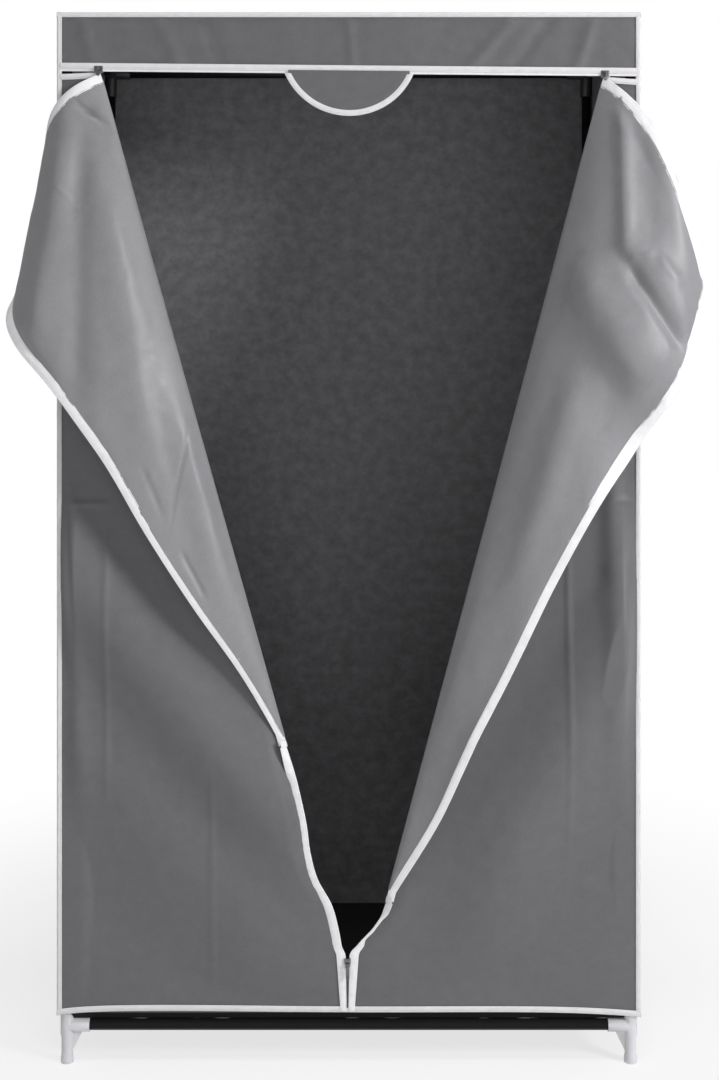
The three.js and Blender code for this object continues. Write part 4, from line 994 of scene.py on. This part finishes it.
def add_opening_tape(flap):
    """The white tape down a panel's free edge, from under the flap's foot to the zip and the hem."""
    sx = flap.sx
    head = flap.foot[2] + 9 * MM
    z = np.linspace(head, HEM_Z + HEM_BINDING_WIDTH * 0.5, 300)
    zip_share = np.clip((OPEN_ZIP_Z - z) / (OPEN_ZIP_Z - HEM_Z), 0, 1)
    head_share = 1 - smooth((head - z) / 0.07)
    width = OPENING_TAPE_WIDTH + (ZIP_TAPE_WIDTH - OPENING_TAPE_WIDTH) * zip_share
    width = width + (FOOT_TAPE_WIDTH - OPENING_TAPE_WIDTH) * head_share
    if sx > 0:  # the right tape is seen turned edge on just above the slider
        turned = smooth((z - OPEN_ZIP_Z - 0.012) / 0.02) * smooth((OPEN_ZIP_Z + 0.085 - z) / 0.04)
        width = width - 8.5 * MM * turned + 1.6 * MM * turned * drift(z, 0, 0.011, 157)
    closed = ZIP_X + sx * (1.0 + 1.7 * (1 - zip_share)) * MM
    above = smooth((z - OPEN_ZIP_Z) / 0.02)
    edge = closed + (opening_edge(flap, z) - closed) * above
    lift = 3.2 * MM * smooth((z - OPEN_ZIP_Z) / (flap.foot[2] - OPEN_ZIP_Z))
    turn = math.radians(44) * head_share - math.radians(8) * above * (1 - head_share)
    inner = np.stack([edge, FRONT_Y + 0.5 * MM - lift, z], 1)
    outer = inner + np.stack([sx * width * np.cos(turn), -width * np.sin(turn), z * 0], 1)
    facing = toward_front(unit(np.cross(np.gradient(inner, axis=0), outer - inner)), 5)
    made = band(f"opening_tape_{flap.side}_piece", inner, outer, facing, TAPE, 151 + sx, thickness=1.3 * MM,
                pucker=0.4 * MM)
    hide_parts(f"opening_tape_{flap.side}")
    stitch_rows(f"opening_stitches_{flap.side}", inner, outer, facing, 0.16, 0.8 * MM)


def add_zip_coil():
    """The closed zip below the slider: two rows of teeth that mesh."""
    z = np.arange(HEM_Z + HEM_BINDING_WIDTH, OPEN_ZIP_Z - 2 * MM, TOOTH_PITCH / 2)
    side = np.where(np.arange(len(z)) % 2 == 0, -1.0, 1.0)
    places = front_line(ZIP_X + side * 0.45 * MM, z, 0.1 * MM)
    teeth = copies("zip_teeth", capsule(2.9 * MM, 0.5 * MM), places, np.array([1.0, 0, 0]), FORWARD, COIL)
    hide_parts("zip_coil")


def add_tab():
    """The round tab: cloth in a bound rim, hanging in front of the zip tape."""
    radius = ((TAB_WIDTH / 2)**2 + TAB_DROP**2) / (2 * TAB_DROP)
    centre = radius - TAB_DROP
    hinge = np.array(joint_named("tab_lift")["pos_m"], float)

    def sweep(reach, count):
        half = math.acos(centre / reach)
        return np.linspace(-half, half, count)

    def arc(reach, angles):
        return reach * np.sin(angles), centre - reach * np.cos(angles)

    def hung(x, z, lift=0.0):
        hang = np.clip(-z / TAB_DROP, 0, 1)
        bow = 3.5 * MM * hang**1.5 + 0.8 * MM * drift(x, z, 0.03, 161) * smooth(hang / 0.3)
        return np.stack([hinge[0] + x, hinge[1] - (bow + lift), hinge[2] + (z - VALANCE_TILT_SHARE * x)], -1)

    rows, columns = 40, 110
    inside = radius - TAB_BINDING_WIDTH * 0.6
    edge_x, edge_z = arc(inside, sweep(inside, columns))
    z = TAB_RISE + (edge_z - TAB_RISE) * np.linspace(0, 1, rows)[:, None]
    points = hung(np.broadcast_to(edge_x, z.shape), z)
    sheet = cloth("tab_cloth", points, [COVER, COVER_INSIDE])
    sheet.parent = None
    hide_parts("tab")
    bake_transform(sheet)
    # The rim ends under the hinge, so that it clears the zip tape when the tab is lifted
    angles, below = sweep(radius, 200), -0.6 * MM
    outer, inner = (hung(x, np.minimum(z, below), 0.1 * MM)
                    for x, z in (arc(radius, angles), arc(radius - TAB_BINDING_WIDTH, angles)))
    made = band("tab_rim", inner, outer, FORWARD, BAND, 163, "tab", 1.2 * MM)
    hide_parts("tab_binding")
    stitch_row("tab_stitches", inner + (outer - inner) * 0.17 + FORWARD * 0.75 * MM, FORWARD, "tab")


def add_base_shelf():
    """The black cloth shelf laid on the bottom rails, sagging between them."""
    low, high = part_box("base_shelf")

    def place(x, y):
        fade = edge_fade(x, y, (low.x, high.x), (low.y, high.y), 0.06)
        from_wall = np.minimum(np.minimum(x - low.x, high.x - x), np.minimum(y - low.y, high.y - y))
        lip = 13 * MM * (1 - smooth(from_wall / 0.006))
        z = high.z - CLOTH_BACKSET - 7 * MM * fade - 1.2 * MM * drift(x, y, 0.09, 171) * fade + lip
        return np.stack([x, y, z], -1)

    panel("base_cloth_sheet", "base_shelf", 90, 50, (low.x, high.x), (high.y, low.y), place,
          looks=[BASE, BASE])


def add_rail_sleeves():
    """The shelf cloth's sleeves: cloth laid over each bottom rail and down its outer side."""
    rows, columns = 120, 22
    start, end = 128, -12
    for k, (name, axis) in enumerate((("front", 0), ("rear", 0), ("left", 1), ("right", 1))):
        low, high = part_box(f"bottom_rail_{name}")
        centre = (low + high) / 2
        radius = (high.z - low.z) / 2 + 0.9 * MM
        outward = -1 if name in ("front", "left") else 1
        reach = high[axis] - low[axis] - 2 * SOCKET_SEAT_HIDE
        along = np.linspace(-reach / 2, reach / 2, rows)[:, None]
        angles = np.radians(np.linspace(start, end, columns))
        aside, up = radius * np.cos(angles) * outward, radius * np.sin(angles)
        grow = 1 + 0.35 * MM * drift(along, up[None], 0.02, 181 + k) / radius
        points = np.zeros((rows, columns, 3))
        points[..., axis] = centre[axis] + along
        points[..., 1 - axis] = centre[1 - axis] + aside * grow
        points[..., 2] = centre.z + up * grow
        made = cloth(f"shelf_sleeve_{name}", points, [BASE])


# Frame, sliders and connectors

NODE_LOOKS = (
    (("slider", "pull"), METAL),
    (("coupler", "corner", "bracket"), DARK_PLASTIC),
    (("post_", "rail", "hanging_rod"), STEEL),
    (("",), PLASTIC),
)


def finish_nodes():
    """Gives the carried-over nodes their materials and small bevels."""
    for name, node in frame["nodes"].items():
        if node.hide_render:
            continue
        look = next(look for words, look in NODE_LOOKS if any(word in name for word in words))
        node.data.materials.clear()
        node.data.materials.append(look)
        count = len(node.data.polygons)
        node.data.polygons.foreach_set("use_smooth", [True] * count)
        node.data.polygons.foreach_set("material_index", [0] * count)
        node.modifiers.new("weld", "WELD").merge_threshold = 0.01 * MM
        bevel = node.modifiers.new("edges", "BEVEL")
        bevel.width = (0.25 if look == METAL else 0.4) * MM
        bevel.segments = 2
        bevel.limit_method = "ANGLE"
        bevel.angle_limit = math.radians(40)
        bevel.harden_normals = True


# Stage


def seen_by(add, *rays):
    """1 where a surface is met by one of two kinds of ray."""
    path = add("LightPath", None, {})[0]
    return add("Math", "Value", {0: (path, rays[0]), 1: (path, rays[1])}, operation="MAXIMUM")


def add_floor():
    """A pale floor that keeps the object's shadow, and turns white further out."""
    bpy.ops.mesh.primitive_plane_add(size=24, location=(0, 4, -0.5 * MM))
    floor = bpy.context.object
    floor.name = "floor"
    material, shader, add, feed = new_material("floor")
    feed(shader, {"Base Color": (0.86, 0.86, 0.86, 1), "Roughness": 0.9, "Specular IOR Level": 0.1})
    place = add("NewGeometry", "Position", {})
    distance = add("VectorMath", "Value", {0: place}, operation="LENGTH")
    away = ranged(add, distance, 0.74, 1.0, (0.45, 1.6), interpolation_type="SMOOTHSTEP")
    share = product(add, seen_by(add, "Is Camera Ray", "Is Glossy Ray"), away)
    glow = add("Emission", "Emission", {})
    both = add("MixShader", "Shader", {0: share, 1: (shader, "BSDF"), 2: glow})
    feed(material.node_tree.nodes["Material Output"], {"Surface": both})
    floor.data.materials.append(material)


def add_stage():
    """The floor, a white surround, soft lamps and the camera of the photograph."""
    add_floor()
    world = bpy.data.worlds.new("surround")
    bpy.context.scene.world = world
    world.use_nodes = True
    add, feed = node_tools(world.node_tree)
    level = ranged(add, seen_by(add, "Is Camera Ray", "Is Transmission Ray"), AMBIENT, 1.0, (0.0, 1.0))
    feed(world.node_tree.nodes["Background"], {"Color": (1, 1, 1, 1), "Strength": level})

    for name, place, target, size, power in LAMPS:
        lamp = bpy.data.lights.new(name, "AREA")
        lamp.shape = "RECTANGLE"
        lamp.size, lamp.size_y = size
        lamp.energy = power
        made = bpy.data.objects.new(name, lamp)
        made.location = place
        made.rotation_euler = (Vector(target) - Vector(place)).to_track_quat("-Z", "Y").to_euler()
        bpy.context.scene.collection.objects.link(made)

    data = bpy.data.cameras.new("camera")
    camera = bpy.data.objects.new("camera", data)
    camera.location = (MIDDLE_X + CAMERA_ASIDE, FRONT_Y - CAMERA_DISTANCE, CAMERA_HEIGHT)
    camera.rotation_euler = (math.pi / 2, 0, 0)
    data.lens = CAMERA_LENS
    data.sensor_width = 36
    data.shift_x, data.shift_y = CAMERA_SHIFT
    bpy.context.scene.collection.objects.link(camera)
    bpy.context.scene.camera = camera
    bpy.context.scene.view_settings.view_transform = "Standard"


add_stage()
for flap in FLAPS:
    add_flap(flap)
    add_flap_tape(flap)
add_back_and_sides()
for flap in FLAPS:
    add_front_panel(flap)
    add_panel_top_tape(flap)
    add_opening_tape(flap)
add_valance()
add_valance_bands()
add_edge_bindings()
add_hem_binding()
add_zip_coil()
add_tab()
add_base_shelf()
add_rail_sleeves()
finish_nodes()
